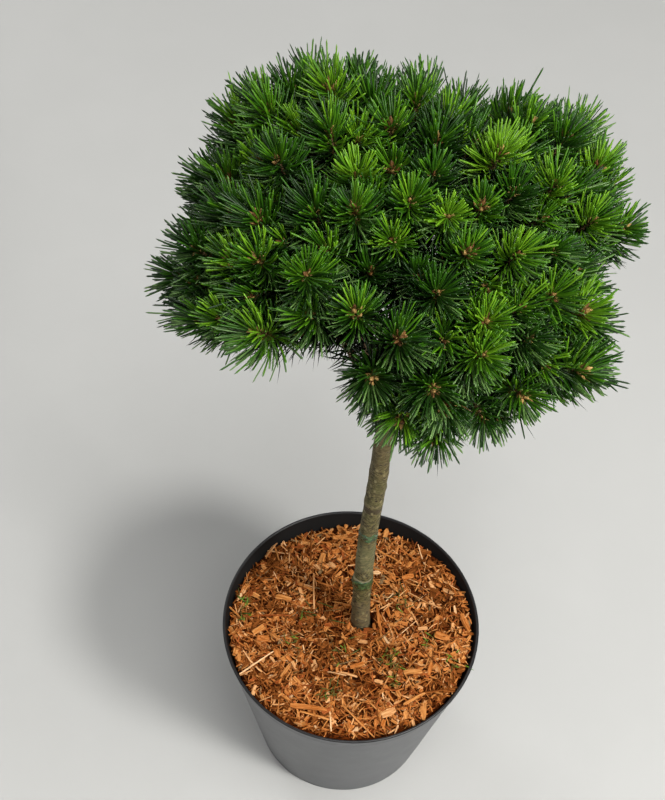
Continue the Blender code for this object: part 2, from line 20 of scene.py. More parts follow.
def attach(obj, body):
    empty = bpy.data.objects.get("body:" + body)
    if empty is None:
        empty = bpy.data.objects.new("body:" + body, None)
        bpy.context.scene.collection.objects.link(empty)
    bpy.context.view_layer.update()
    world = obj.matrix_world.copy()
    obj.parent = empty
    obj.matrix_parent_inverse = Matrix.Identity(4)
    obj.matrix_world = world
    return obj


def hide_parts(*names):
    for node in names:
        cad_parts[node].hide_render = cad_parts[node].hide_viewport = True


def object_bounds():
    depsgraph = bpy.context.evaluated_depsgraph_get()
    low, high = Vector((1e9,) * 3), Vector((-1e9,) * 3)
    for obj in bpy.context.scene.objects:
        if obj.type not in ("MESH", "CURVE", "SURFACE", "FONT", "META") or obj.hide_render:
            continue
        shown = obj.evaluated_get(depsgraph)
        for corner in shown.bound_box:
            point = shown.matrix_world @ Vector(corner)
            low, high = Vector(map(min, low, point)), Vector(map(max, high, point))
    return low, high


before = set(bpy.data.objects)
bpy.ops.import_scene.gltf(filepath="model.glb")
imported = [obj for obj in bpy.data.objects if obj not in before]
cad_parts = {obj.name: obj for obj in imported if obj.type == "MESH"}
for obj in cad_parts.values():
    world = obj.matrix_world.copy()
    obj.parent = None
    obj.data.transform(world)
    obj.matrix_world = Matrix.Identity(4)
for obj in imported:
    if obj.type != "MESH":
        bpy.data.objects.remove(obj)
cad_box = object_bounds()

log = logging.getLogger("pine")

MM = 0.001
TURN = 2.0 * pi
GOLDEN_ANGLE = pi * (3.0 - sqrt(5.0))
UP = Vector((0.0, 0.0, 1.0))
BODY = "root"

Pair = tuple[float, float]
Triple = tuple[float, float, float]
Quad = tuple[float, float, float, float]
Colour = Triple
Array = np.ndarray
Number = float | Array
Value = float | Vector | Array
Tree = bpy.types.NodeTree
Node = bpy.types.Node
Socket = bpy.types.NodeSocket
Material = bpy.types.Material
Piece = bpy.types.Object
Chance = np.random.Generator


def paint(red: int, green: int, blue: int) -> Colour:
    """The linear colour of screen values from 0 to 255."""
    shares = (red / 255, green / 255, blue / 255)
    return tuple(v / 12.92 if v <= 0.04045 else ((v + 0.055) / 1.055) ** 2.4 for v in shares)


def mix(start: Value, end: Value, share: Number) -> Value:
    """The value a share of the way from start to end."""
    return start + (end - start) * share


def bump(value: float, middle: float, width: float) -> float:
    """A smooth hump of height one round the middle."""
    return exp(-(((value - middle) / width) ** 2))


def bezier(points: list[Vector], share: float) -> Vector:
    """The point at a share of the curve that control points draw.

    Args:
        points: The control points.
        share: The share of the way from the first to the last.

    Returns:
        The point.
    """
    while len(points) > 1:
        points = [mix(a, b, share) for a, b in zip(points, points[1:])]
    return points[0]


def ring_point(angle: float, radius: float, height: float, x: float = 0.0, y: float = 0.0) -> Triple:
    """The point at an angle and a radius round an upright line."""
    return x + radius * cos(angle), y + radius * sin(angle), height


def arc(x: float, y: float, radius: float, angles: range) -> list[Pair]:
    """Points of a circle at angles in degrees, from its middle and radius."""
    turns = [radians(angle) for angle in angles]
    return [(x + radius * cos(turn), y + radius * sin(turn)) for turn in turns]


def unit(vectors: Array) -> Array:
    """The vectors of an array, each at length one."""
    return vectors / np.maximum(np.linalg.norm(vectors, axis=-1, keepdims=True), 1e-12)


def place(tree: Tree, kind: str, inputs: dict | None = None, **settings: object) -> Node:
    """Adds a node to a tree, sets it up and wires it.

    Args:
        tree: The node tree of a material or of a group.
        kind: The node's type, without the words that all shader nodes begin with.
        inputs: A value, or a socket to link from, for each input name or index.
        **settings: Properties of the node itself.

    Returns:
        The new node.
    """
    node = tree.nodes.new(f"ShaderNode{kind}")
    for name, value in settings.items():
        setattr(node, name, value)
    for name, value in (inputs or {}).items():
        if isinstance(value, Socket):
            tree.links.new(value, node.inputs[name])
        else:
            node.inputs[name].default_value = value
    return node


def opaque(colour: Colour) -> Quad:
    """A colour with full alpha, as colour sockets take it."""
    return (*colour, 1.0)


def maths(tree: Tree, operation: str, *values: float | Socket) -> Socket:
    """The result of a math node on numbers or sockets."""
    return place(tree, "Math", dict(enumerate(values)), operation=operation).outputs[0]


def ease(tree: Tree, value: Socket, low: float | Socket, high: float | Socket) -> Socket:
    """A mask that goes smoothly from nought to one as a value goes from low to high."""
    span = {"Value": value, "From Min": low, "From Max": high}
    return place(tree, "MapRange", span, interpolation_type="SMOOTHSTEP").outputs[0]


def clouds(tree: Tree, where: Socket, scale: float | Socket, detail: float, rough: float = 0.5) -> Socket:
    """A soft random pattern over the surface."""
    inputs = {"Vector": where, "Scale": scale, "Detail": detail, "Roughness": rough}
    return place(tree, "TexNoise", inputs).outputs["Fac"]


def blend(tree: Tree, share: Socket, start: Socket | Quad, end: Socket | Quad) -> Socket:
    """A colour that a mask moves from one colour to another."""
    return place(tree, "Mix", {0: share, 6: start, 7: end}, data_type="RGBA").outputs[2]


def own_place(tree: Tree) -> Socket:
    """The place on the surface, in the piece's own coordinates."""
    return place(tree, "TexCoord").outputs["Object"]


def with_height(tree: Tree, where: Socket, upright: float) -> Socket:
    """A place whose height counts by another measure."""
    return place(tree, "Mapping", {"Vector": where, "Scale": (1.0, 1.0, upright)}).outputs[0]


class Effect(Enum):
    """The shader effects that several finishes share."""

    MOTTLE = "Mottle"
    SPECKLE = "Speckle"
    FIBRE = "Fibre"
    RELIEF = "Relief"
    DUST = "Dust"
    BAND = "Band"


# The kinds of the sockets that aren't plain numbers
SOCKET_KINDS = {"Vector": "Vector", "Light": "Color", "Dark": "Color", "Color": "Color"}


class Effects:
    """Builds each shared effect once, as a node group, and places it in materials."""

    def __init__(self) -> None:
        """Builds the groups."""
        self._groups: dict[Effect, Tree] = {}
        for build in (self._mottle, self._speckle, self._fibre, self._relief, self._dust, self._band):
            build()

    def put(self, tree: Tree, effect: Effect, inputs: dict) -> Node:
        """Places an effect in a material, with a value or a socket for each of its named inputs."""
        return place(tree, "Group", inputs, node_tree=self._groups[effect])

    def _group(self, effect: Effect, inputs: tuple[str, ...], outputs: tuple[str, ...]) -> tuple:
        """Starts a group with its sockets, and keeps it.

        Args:
            effect: The effect that the group makes.
            inputs: The names of its inputs.
            outputs: The names of its outputs.

        Returns:
            The group, the sockets of its inputs and the sockets of its outputs.
        """
        group = self._groups[effect] = bpy.data.node_groups.new(effect.value, "ShaderNodeTree")
        for names, way in ((inputs, "INPUT"), (outputs, "OUTPUT")):
            for name in names:
                kind = SOCKET_KINDS.get(name, "Float")
                group.interface.new_socket(name, in_out=way, socket_type=f"NodeSocket{kind}")
        return group, group.nodes.new("NodeGroupInput").outputs, group.nodes.new("NodeGroupOutput").inputs

    def _mottle(self) -> None:
        """Two colours that drift into each other in patches."""
        inputs = ("Vector", "Scale", "Spread", "Light", "Dark")
        group, given, out = self._group(Effect.MOTTLE, inputs, ("Color", "Mask"))
        patches = clouds(group, given["Vector"], given["Scale"], 4.0, 0.62)
        low = maths(group, "SUBTRACT", 0.5, given["Spread"])
        high = maths(group, "ADD", 0.5, given["Spread"])
        mask = ease(group, patches, low, high)
        group.links.new(blend(group, mask, given["Dark"], given["Light"]), out["Color"])
        group.links.new(mask, out["Mask"])

    def _speckle(self) -> None:
        """Small round specks, in some of the cells of a random lattice."""
        group, given, out = self._group(Effect.SPECKLE, ("Vector", "Scale", "Size", "Share"), ("Mask",))
        lattice = {"Vector": given["Vector"], "Scale": given["Scale"]}
        cells = place(group, "TexVoronoi", lattice).outputs
        rim = maths(group, "MULTIPLY", given["Size"], 0.45)
        spot = ease(group, cells["Distance"], given["Size"], rim)
        draw = place(group, "SeparateColor", {"Color": cells["Color"]}).outputs[0]
        chosen = maths(group, "LESS_THAN", draw, given["Share"])
        group.links.new(maths(group, "MULTIPLY", spot, chosen), out["Mask"])

    def _fibre(self) -> None:
        """Long streaks that run along the first axis of the vector."""
        group, given, out = self._group(Effect.FIBRE, ("Vector", "Along", "Across"), ("Mask", "Height"))
        shares = {0: given["Along"], 1: given["Across"], 2: given["Across"]}
        scale = place(group, "CombineXYZ", shares).outputs[0]
        drawn = place(group, "VectorMath", {0: given["Vector"], 1: scale}, operation="MULTIPLY")
        streaks = clouds(group, drawn.outputs[0], 1.0, 3.0, 0.6)
        group.links.new(ease(group, streaks, 0.35, 0.68), out["Mask"])
        group.links.new(streaks, out["Height"])

    def _relief(self) -> None:
        """A height of coarse lumps and fine grain, in a chosen balance."""
        group, given, out = self._group(Effect.RELIEF, ("Vector", "Coarse", "Fine", "Balance"), ("Height",))
        lumps = clouds(group, given["Vector"], given["Coarse"], 3.0)
        grain = clouds(group, given["Vector"], given["Fine"], 5.0, 0.7)
        heights = {0: given["Balance"], 2: lumps, 3: grain}
        height = place(group, "Mix", heights, data_type="FLOAT")
        group.links.new(height.outputs[0], out["Height"])

    def _dust(self) -> None:
        """Dust that settles in patches, and more on what faces up."""
        group, given, out = self._group(Effect.DUST, ("Vector", "Scale", "Amount"), ("Mask",))
        facing = place(group, "NewGeometry").outputs["Normal"]
        rise = place(group, "SeparateXYZ", {0: facing}).outputs[2]
        span = {"Value": rise, "From Min": -0.4, "From Max": 1.0, "To Min": 0.35, "To Max": 1.0}
        upward = place(group, "MapRange", span).outputs[0]
        cloud = ease(group, clouds(group, given["Vector"], given["Scale"], 6.0, 0.7), 0.38, 0.72)
        settled = maths(group, "MULTIPLY", upward, cloud)
        group.links.new(maths(group, "MULTIPLY", settled, given["Amount"]), out["Mask"])

    def _band(self) -> None:
        """A level band with an uneven edge, at a height."""
        group, given, out = self._group(Effect.BAND, ("Vector", "Height", "Width", "Amount"), ("Mask",))
        drift = maths(group, "SUBTRACT", clouds(group, given["Vector"], 240.0, 3.0, 0.6), 0.5)
        level = place(group, "SeparateXYZ", {0: given["Vector"]}).outputs[2]
        share = maths(group, "DIVIDE", maths(group, "SUBTRACT", level, given["Height"]), given["Width"])
        edge = maths(group, "MULTIPLY_ADD", drift, 1.6, maths(group, "ABSOLUTE", share))
        fade = ease(group, edge, 1.1, 0.55)
        group.links.new(maths(group, "MULTIPLY", fade, given["Amount"]), out["Mask"])


def patchwork(where: Socket, scale: float, spread: float, light: Colour, dark: Colour) -> dict:
    """The inputs of the mottle effect."""
    return {"Vector": where, "Scale": scale, "Spread": spread, "Light": opaque(light), "Dark": opaque(dark)}


def spots(where: Socket, scale: float, size: float, share: float) -> dict:
    """The inputs of the speckle effect."""
    return {"Vector": where, "Scale": scale, "Size": size, "Share": share}


def grit(where: Socket, coarse: float, fine: float, balance: float) -> dict:
    """The inputs of the relief effect."""
    return {"Vector": where, "Coarse": coarse, "Fine": fine, "Balance": balance}


def blank(name: str, gloss: float = 0.5) -> tuple[Material, Tree, Node]:
    """A new material with only its Principled shader.

    Args:
        name: The material's name.
        gloss: How strongly it mirrors.

    Returns:
        The material, its node tree and its shader.
    """
    material = bpy.data.materials.new(name)
    material.use_nodes = True
    shader = material.node_tree.nodes["Principled BSDF"]
    shader.inputs["Specular IOR Level"].default_value = gloss
    return material, material.node_tree, shader


def connect(
    tree: Tree, shader: Node, colour: Socket, roughness: Socket,
    height: Socket | None = None, strength: float = 0.3, distance: float = 0.2 * MM,
) -> None:
    """Wires colour, roughness and bump into a shader.

    Args:
        tree: The material's node tree.
        shader: Its Principled shader.
        colour: The socket that gives the base colour.
        roughness: The socket that gives the roughness.
        height: The socket that gives the bump's height, if there is one.
        strength: How strongly the bump turns the normal.
        distance: The height of the bump's relief in metres.
    """
    tree.links.new(colour, shader.inputs["Base Color"])
    tree.links.new(roughness, shader.inputs["Roughness"])
    if height is not None:
        relief = place(tree, "Bump", {"Strength": strength, "Distance": distance, "Height": height})
        tree.links.new(relief.outputs["Normal"], shader.inputs["Normal"])


def rough_span(tree: Tree, mask: Socket, low: float, high: float) -> Socket:
    """A roughness that a mask moves between two values."""
    return place(tree, "MapRange", {"Value": mask, "To Min": low, "To Max": high}).outputs[0]


@dataclass(frozen=True)
class NeedleFinish:
    """A plain needle green with a waxy gloss, a little uneven along each needle."""

    name: str
    tone: Colour
    shade: Colour
    roughness: float = 0.38
    shine: float = 0.42

    def build(self, effects: Effects) -> Material:
        """Makes the material of this finish.

        Args:
            effects: The shared shader effects.

        Returns:
            The material.
        """
        material, tree, shader = blank(self.name, self.shine)
        greens = patchwork(own_place(tree), 160.0, 0.22, self.tone, self.shade)
        drift = effects.put(tree, Effect.MOTTLE, greens)
        rough = rough_span(tree, drift.outputs["Mask"], self.roughness + 0.08, self.roughness - 0.05)
        connect(tree, shader, drift.outputs["Color"], rough)
        return material


@dataclass(frozen=True)
class ColourBand:
    """A band of another colour round the bark, at a height."""

    height: float
    width: float
    colour: Colour
    amount: float


@dataclass(frozen=True)
class BarkFinish:
    """Bark in two tones with patches of a third, level bands of colour, pale flecks and dark specks."""

    name: str
    light: Colour
    dark: Colour
    patch: Colour
    speck: Colour
    fleck: Colour
    patch_scale: float = 60.0
    grain_scale: float = 420.0
    speck_scale: float = 300.0
    speck_size: float = 0.32
    speck_share: float = 0.3
    fleck_scale: float = 380.0
    fleck_size: float = 0.55
    fleck_share: float = 0.35
    roughness: float = 0.8
    colour_bands: tuple[ColourBand, ...] = ()

    def build(self, effects: Effects) -> Material:
        """Makes the material of this finish.

        Args:
            effects: The shared shader effects.

        Returns:
            The material.
        """
        material, tree, shader = blank(self.name)
        where = own_place(tree)
        squat, tall = with_height(tree, where, 1.6), with_height(tree, where, 0.6)
        fine = patchwork(squat, self.grain_scale, 0.11, self.light, self.dark)
        wide = patchwork(squat, self.patch_scale, 0.1, self.light, self.dark)
        grain, patches = effects.put(tree, Effect.MOTTLE, fine), effects.put(tree, Effect.MOTTLE, wide)
        share = maths(tree, "MULTIPLY", patches.outputs["Mask"], 0.7)
        colour = blend(tree, share, grain.outputs["Color"], opaque(self.patch))
        for ring_band in self.colour_bands:
            span = {"Vector": where, "Height": ring_band.height, "Width": ring_band.width, "Amount": ring_band.amount}
            band = effects.put(tree, Effect.BAND, span)
            colour = blend(tree, band.outputs["Mask"], colour, opaque(ring_band.colour))
        pale = spots(tall, self.fleck_scale, self.fleck_size, self.fleck_share)
        flecks = effects.put(tree, Effect.SPECKLE, pale)
        colour = blend(tree, flecks.outputs["Mask"], colour, opaque(self.fleck))
        dots = spots(squat, self.speck_scale, self.speck_size, self.speck_share)
        specks = effects.put(tree, Effect.SPECKLE, dots)
        colour = blend(tree, specks.outputs["Mask"], colour, opaque(self.speck))
        relief = effects.put(tree, Effect.RELIEF, grit(squat, self.grain_scale, 4.0 * self.grain_scale, 0.4))
        raised = maths(tree, "SUBTRACT", relief.outputs["Height"], specks.outputs["Mask"])
        rough = rough_span(tree, grain.outputs["Mask"], self.roughness + 0.1, self.roughness - 0.12)
        connect(tree, shader, colour, rough, raised, 0.6, 0.5 * MM)
        return material


@dataclass(frozen=True)
class PlasticFinish:
    """Thin moulded plastic, near black above a height and lighter below it; on the outer wall that grey is
    partly a film of dust and partly a painted reflection of the pale floor.
    """

    name: str
    clean: Colour
    dust_and_reflection: Colour
    fade_from: float
    fade_to: float
    roughness: float = 0.42
    shine: float = 0.4

    def build(self, effects: Effects) -> Material:
        """Makes the material of this finish.

        Args:
            effects: The shared shader effects.

        Returns:
            The material.
        """
        material, tree, shader = blank(self.name, self.shine)
        where = own_place(tree)
        height = place(tree, "SeparateXYZ", {0: where}).outputs[2]
        # Below the fade the plastic takes its lighter colour, on the outer wall dust and painted reflection;
        # dust patches add to it within the fade
        low = ease(tree, height, self.fade_to, self.fade_from)
        dust = effects.put(tree, Effect.DUST, {"Vector": where, "Scale": 26.0, "Amount": 0.5})
        film = maths(tree, "MULTIPLY_ADD", dust.outputs["Mask"], low, low)
        colour = blend(tree, maths(tree, "MINIMUM", film, 1.0), opaque(self.clean), opaque(self.dust_and_reflection))
        relief = effects.put(tree, Effect.RELIEF, grit(where, 60.0, 1800.0, 0.3)).outputs["Height"]
        rough = rough_span(tree, relief, self.roughness - 0.06, self.roughness + 0.06)
        connect(tree, shader, colour, rough, relief, 0.06, 0.1 * MM)
        return material


@dataclass(frozen=True)
class ChipFinish:
    """Split wood or bark with streaks along its own grain."""

    name: str
    light: Colour
    dark: Colour
    roughness: float = 0.85
    shine: float = 0.08

    def build(self, effects: Effects) -> Material:
        """Makes the material of this finish, which reads the grain that each chip carries.

        Args:
            effects: The shared shader effects.

        Returns:
            The material.
        """
        material, tree, shader = blank(self.name, self.shine)
        grain = place(tree, "Attribute", attribute_name=GRAIN).outputs["Vector"]
        streaks = effects.put(tree, Effect.FIBRE, {"Vector": grain, "Along": 90.0, "Across": 1500.0}).outputs
        colour = blend(tree, streaks["Mask"], opaque(self.dark), opaque(self.light))
        rough = rough_span(tree, streaks["Mask"], self.roughness + 0.1, self.roughness - 0.08)
        connect(tree, shader, colour, rough, streaks["Height"], 0.5, 0.3 * MM)
        return material


@dataclass(frozen=True)
class EarthFinish:
    """Loose dark ground in two tones, or any other rough and lumpy surface."""

    name: str
    light: Colour
    dark: Colour
    scale: float
    roughness: float = 0.95
    strength: float = 0.8
    shine: float = 0.1

    def build(self, effects: Effects) -> Material:
        """Makes the material of this finish.

        Args:
            effects: The shared shader effects.

        Returns:
            The material.
        """
        material, tree, shader = blank(self.name, self.shine)
        where = own_place(tree)
        crumbs = effects.put(tree, Effect.MOTTLE, patchwork(where, self.scale, 0.12, self.light, self.dark))
        lumps = grit(where, self.scale, 5.0 * self.scale, 0.5)
        relief = effects.put(tree, Effect.RELIEF, lumps).outputs["Height"]
        rougher = min(1.0, self.roughness + 0.05)
        rough = rough_span(tree, crumbs.outputs["Mask"], rougher, self.roughness - 0.08)
        connect(tree, shader, crumbs.outputs["Color"], rough, relief, self.strength, 1.0 * MM)
        return material


class Tone(IntEnum):
    """The tones of needles: four greens from young to deep, a blue that is partly waxy bloom and partly
    painted sheen, old, dry, and straw feet. The old tone also stands as painted shade in valleys and at the
    feet of needles.
    """

    YOUNG = 0
    BRIGHT = 1
    FULL = 2
    DEEP = 3
    BLUE = 4
    OLD = 5
    DRY = 6
    FOOT = 7


NEEDLE_FINISHES = (
    NeedleFinish("needle young", paint(104, 148, 27), paint(82, 128, 16)),
    NeedleFinish("needle bright", paint(73, 118, 14), paint(53, 98, 8)),
    NeedleFinish("needle full", paint(44, 87, 7), paint(32, 70, 4)),
    NeedleFinish("needle deep", paint(25, 58, 5), paint(16, 44, 3)),
    # The blue tone is partly the needles' waxy bloom and partly a painted sheen, dealt to needles that point
    # down
    NeedleFinish("needle blue", paint(96, 127, 66), paint(60, 96, 37)),
    NeedleFinish("needle old", paint(15, 31, 5), paint(9, 21, 3), 0.6, 0.12),
    NeedleFinish("needle dry", paint(128, 98, 50), paint(94, 66, 30), 0.6, 0.2),
    NeedleFinish("needle foot", paint(112, 106, 40), paint(80, 78, 26), 0.5, 0.3),
)

TRUNK_BANDS = (
    # A broad band that makes the upper stem darker and browner towards the crown
    ColourBand(440 * MM, 90 * MM, paint(90, 74, 42), 0.5),
    ColourBand(315 * MM, 4.2 * MM, paint(58, 46, 24), 0.85),
    ColourBand(322 * MM, 1.8 * MM, paint(126, 116, 80), 0.5),
    # A pale line just above the lower tie: partly the scar's own paler bark, partly a painted highlight of
    # the tie's upper hem
    ColourBand(219 * MM, 1.4 * MM, paint(160, 152, 122), 0.6),
    ColourBand(250 * MM, 24 * MM, paint(128, 128, 90), 0.3),
    ColourBand(165 * MM, 26 * MM, paint(116, 102, 78), 0.4),
)
TRUNK_FINISH = BarkFinish(
    "trunk bark", paint(114, 102, 58), paint(46, 39, 18), paint(84, 80, 40), paint(30, 22, 10),
    paint(132, 122, 84), speck_size=0.36, speck_share=0.45, fleck_share=0.18, colour_bands=TRUNK_BANDS,
)
BOUGH_FINISH = BarkFinish(
    "bough bark", paint(116, 90, 56), paint(66, 46, 26), paint(92, 76, 42), paint(32, 22, 12),
    paint(134, 108, 74), patch_scale=140.0, grain_scale=700.0, speck_scale=420.0,
)
# The outer wall's grey below the lip is partly dust and partly a painted reflection of the floor; the lip
# keeps the plastic's near black
POT_FINISH = PlasticFinish("pot plastic", (0.010, 0.0102, 0.011), (0.092, 0.095, 0.101), 156 * MM, 159 * MM)
POT_INSIDE_FINISH = PlasticFinish(
    "pot inside", (0.010, 0.010, 0.010), (0.018, 0.017, 0.016), 0.0, 150 * MM, roughness=0.62, shine=0.12
)
TIE_FINISH = EarthFinish(
    "plant tie", paint(68, 98, 60), paint(18, 42, 22), 300.0, roughness=0.28, strength=0.2, shine=0.7
)
SOIL_FINISH = EarthFinish("potting soil", paint(72, 50, 36), paint(30, 20, 13), 260.0)
# The bed's dark red brown is partly the ground's own colour and partly painted shade in the gaps between the
# chips
BED_FINISH = EarthFinish("mulch bed", paint(98, 44, 10), paint(34, 13, 2), 420.0, shine=0.05)
FLOOR_FINISH = EarthFinish(
    "pale floor", (0.445, 0.448, 0.438), (0.43, 0.433, 0.423), 3.0, roughness=0.6, strength=0.0, shine=0.3
)

CHIP_FINISHES = (
    ChipFinish("chip orange", paint(196, 126, 66), paint(146, 78, 26)),
    ChipFinish("chip amber", paint(204, 142, 82), paint(162, 98, 42)),
    ChipFinish("chip red", paint(170, 94, 46), paint(112, 52, 16)),
    ChipFinish("chip tan", paint(218, 166, 114), paint(178, 120, 68)),
    ChipFinish("chip brown", paint(142, 82, 34), paint(88, 43, 10)),
    ChipFinish("chip dark", paint(90, 44, 13), paint(50, 22, 4)),
    ChipFinish("chip pale", paint(234, 196, 150), paint(196, 146, 98)),
    ChipFinish("chip grey", paint(146, 118, 82), paint(104, 80, 50)),
)
DAMP_TONE = 4
SHRED_SHARES = (0.27, 0.22, 0.13, 0.10, 0.19, 0.07, 0.01, 0.01)
CHIP_SHARES = (0.28, 0.30, 0.10, 0.16, 0.10, 0.02, 0.03, 0.01)

BUD_FINISHES = (
    ChipFinish("bud scale", paint(122, 84, 44), paint(70, 46, 22), 0.55, 0.3),
    ChipFinish("bud tip", paint(182, 148, 90), paint(132, 100, 52), 0.55, 0.3),
    ChipFinish("sheath", paint(150, 128, 70), paint(102, 84, 42), 0.6, 0.3),
)

# The name that meshes give each point's place along and across its own tube
GRAIN = "grain"
# How far that place is shifted for each tube, in metres, so that no two look alike
GRAIN_SHIFT = 7.0


@dataclass(frozen=True)
class TubeForm:
    """The cross-section and the end of the tubes in one batch."""

    sides: int
    flatness: float = 1.0
    pointed: bool = False
    turn: float = 0.0


class Facets:
    """Gathers the points and faces of many small shapes and joins them in one mesh."""

    def __init__(self, grain: bool = False) -> None:
        """Starts empty.

        Args:
            grain: Whether each point keeps its place along and across its own tube.
        """
        self._points: list[Array] = []
        self._grains: list[Array] = []
        self._faces: list[Array] = []
        self._tones: list[Array] = []
        self._keeps_grain = grain
        self._count = 0
        self.triangles = 0

    def add(self, points: Array, grains: Array) -> int:
        """Adds points.

        Args:
            points: An array of points.
            grains: Their places in their own tubes.

        Returns:
            The number of the first of them.
        """
        first = self._count
        self._points.append(points)
        self._grains.append(grains)
        self._count += len(points)
        return first

    def fill(self, faces: Array, tones: Array | int) -> None:
        """Adds faces.

        Args:
            faces: The points' numbers, a row for each face.
            tones: The material's number, for each face or for all.
        """
        self._faces.append(faces)
        self._tones.append(np.broadcast_to(np.asarray(tones), (len(faces),)))
        self.triangles += len(faces) * (faces.shape[1] - 2)

    def add_rows(self, rows: list[list], closed: bool = False, flipped: bool = False) -> None:
        """Adds rows of points that each run round a shape, and the skin between them.

        Args:
            rows: The rows, all with as many points.
            closed: Whether the last row joins the first. Otherwise a face closes each end.
            flipped: Whether the skin looks the other way.
        """
        count, sides = len(rows), len(rows[0])
        points = np.array(rows).reshape(-1, 3)
        ring = self.add(points, np.zeros_like(points)) + np.arange(sides)
        ahead = np.roll(ring, -1)
        for r in range(count if closed else count - 1):
            low, high = r * sides, (r + 1) % count * sides
            corners = [ring + low, ahead + low, ahead + high, ring + high]
            self.fill(np.stack(corners[:1] + corners[:0:-1] if flipped else corners, axis=1), 0)
        if not closed:
            self.fill(ring[::-1][None], 0)
            self.fill((ring + (count - 1) * sides)[None], 0)

    def add_tubes(self, centres: Array, radii: Array, roll: Array, form: TubeForm, tones: Array) -> None:
        """Adds a batch of closed tubes of one form.

        Args:
            centres: The centre lines, (tubes, rings, 3), with the tip as one more ring if pointed.
            radii: The radius of each ring, (tubes, rings).
            roll: A vector for each tube that its first side leans towards, (tubes, 3).
            form: The cross-section and end.
            tones: The material's number, for each tube or for each of its rings.
        """
        tubes, rings = radii.shape
        sides = form.sides
        runs = unit(np.gradient(centres, axis=1))[:, :rings]
        lean = roll[:, None, :]
        side = unit(lean - runs * np.sum(lean * runs, axis=-1, keepdims=True))
        across = np.cross(runs, side)
        angles = form.turn + TURN * np.arange(sides) / sides
        cosines = (np.cos(angles) * radii[:, :, None])[..., None]
        sines = (np.sin(angles) * form.flatness * radii[:, :, None])[..., None]
        points = centres[:, :rings, None] + side[:, :, None] * cosines + across[:, :, None] * sines
        points = points.reshape(tubes, rings * sides, 3)
        steps = np.linalg.norm(np.diff(centres, axis=1), axis=2)
        along = np.concatenate([np.zeros((tubes, 1)), np.cumsum(steps, axis=1)], axis=1)
        run = np.broadcast_to(along[:, :rings, None, None], cosines.shape)
        grains = np.concatenate([run, cosines, sines], axis=3).reshape(tubes, rings * sides, 3)
        if form.pointed:
            points = np.concatenate([points, centres[:, -1:]], axis=1)
            tip = np.stack([along[:, -1], np.zeros(tubes), np.zeros(tubes)], axis=1)
            grains = np.concatenate([grains, tip[:, None]], axis=1)
        grains = grains + roll[:, None, :] * GRAIN_SHIFT
        each = points.shape[1]
        first = self.add(points.reshape(-1, 3), grains.reshape(-1, 3)) + each * np.arange(tubes)
        bands = np.broadcast_to(tones.reshape(tubes, -1), (tubes, rings))

        ring = np.arange(sides)
        ahead = (ring + 1) % sides
        for r in range(rings - 1):
            quads = np.stack([ring, ahead, ahead + sides, ring + sides], axis=1) + r * sides
            self.fill((first[:, None, None] + quads).reshape(-1, 4), np.repeat(bands[:, r], sides))
        self.fill(first[:, None] + ring[::-1], bands[:, 0])
        top = (rings - 1) * sides
        if form.pointed:
            tips = np.stack([ring + top, ahead + top, np.full(sides, top + sides)], axis=1)
            self.fill((first[:, None, None] + tips).reshape(-1, 3), np.repeat(bands[:, -1], sides))
        else:
            self.fill(first[:, None] + ring + top, bands[:, -1])

    def make(self, name: str, materials: list[Material], smooth: bool = True) -> Piece:
        """Joins all that was added in one mesh object.

        Args:
            name: The object's name.
            materials: Its materials, in the order of the tones.
            smooth: Whether its faces are shaded smooth.

        Returns:
            The object.
        """
        mesh = bpy.data.meshes.new(name)
        sizes = np.concatenate([np.full(len(f), f.shape[1]) for f in self._faces])
        corners = np.concatenate([f.ravel() for f in self._faces])
        starts = np.concatenate([[0], np.cumsum(sizes)[:-1]])
        mesh.vertices.add(self._count)
        mesh.vertices.foreach_set("co", np.concatenate(self._points).astype(np.float32).ravel())
        mesh.loops.add(len(corners))
        mesh.loops.foreach_set("vertex_index", corners.astype(np.int32))
        mesh.polygons.add(len(sizes))
        mesh.polygons.foreach_set("loop_start", starts.astype(np.int32))
        mesh.polygons.foreach_set("material_index", np.concatenate(self._tones).astype(np.int32))
        mesh.polygons.foreach_set("use_smooth", np.full(len(sizes), smooth))
        if self._keeps_grain:
            layer = mesh.attributes.new(GRAIN, "FLOAT_VECTOR", "POINT")
            layer.data.foreach_set("vector", np.concatenate(self._grains).astype(np.float32).ravel())
        mesh.update(calc_edges=True)
        for material in materials:
            mesh.materials.append(material)
        return link(name, mesh)


def link(name: str, data: bpy.types.ID) -> Piece:
    """Puts a mesh, a light or a camera in the scene.

    Args:
        name: The object's name.
        data: What it shows.

    Returns:
        The object.
    """
    made = bpy.data.objects.new(name, data)
    bpy.context.scene.collection.objects.link(made)
    return made


def settle(piece: Piece, slot: str, *nodes: str) -> Piece:
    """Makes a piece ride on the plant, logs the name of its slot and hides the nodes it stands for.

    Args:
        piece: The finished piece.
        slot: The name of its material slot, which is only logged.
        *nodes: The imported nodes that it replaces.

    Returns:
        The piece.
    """
    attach(piece, BODY)
    if nodes:
        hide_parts(*nodes)
    log.info("%-24s %7d faces  %s", piece.name, len(piece.data.polygons), slot)
    return piece


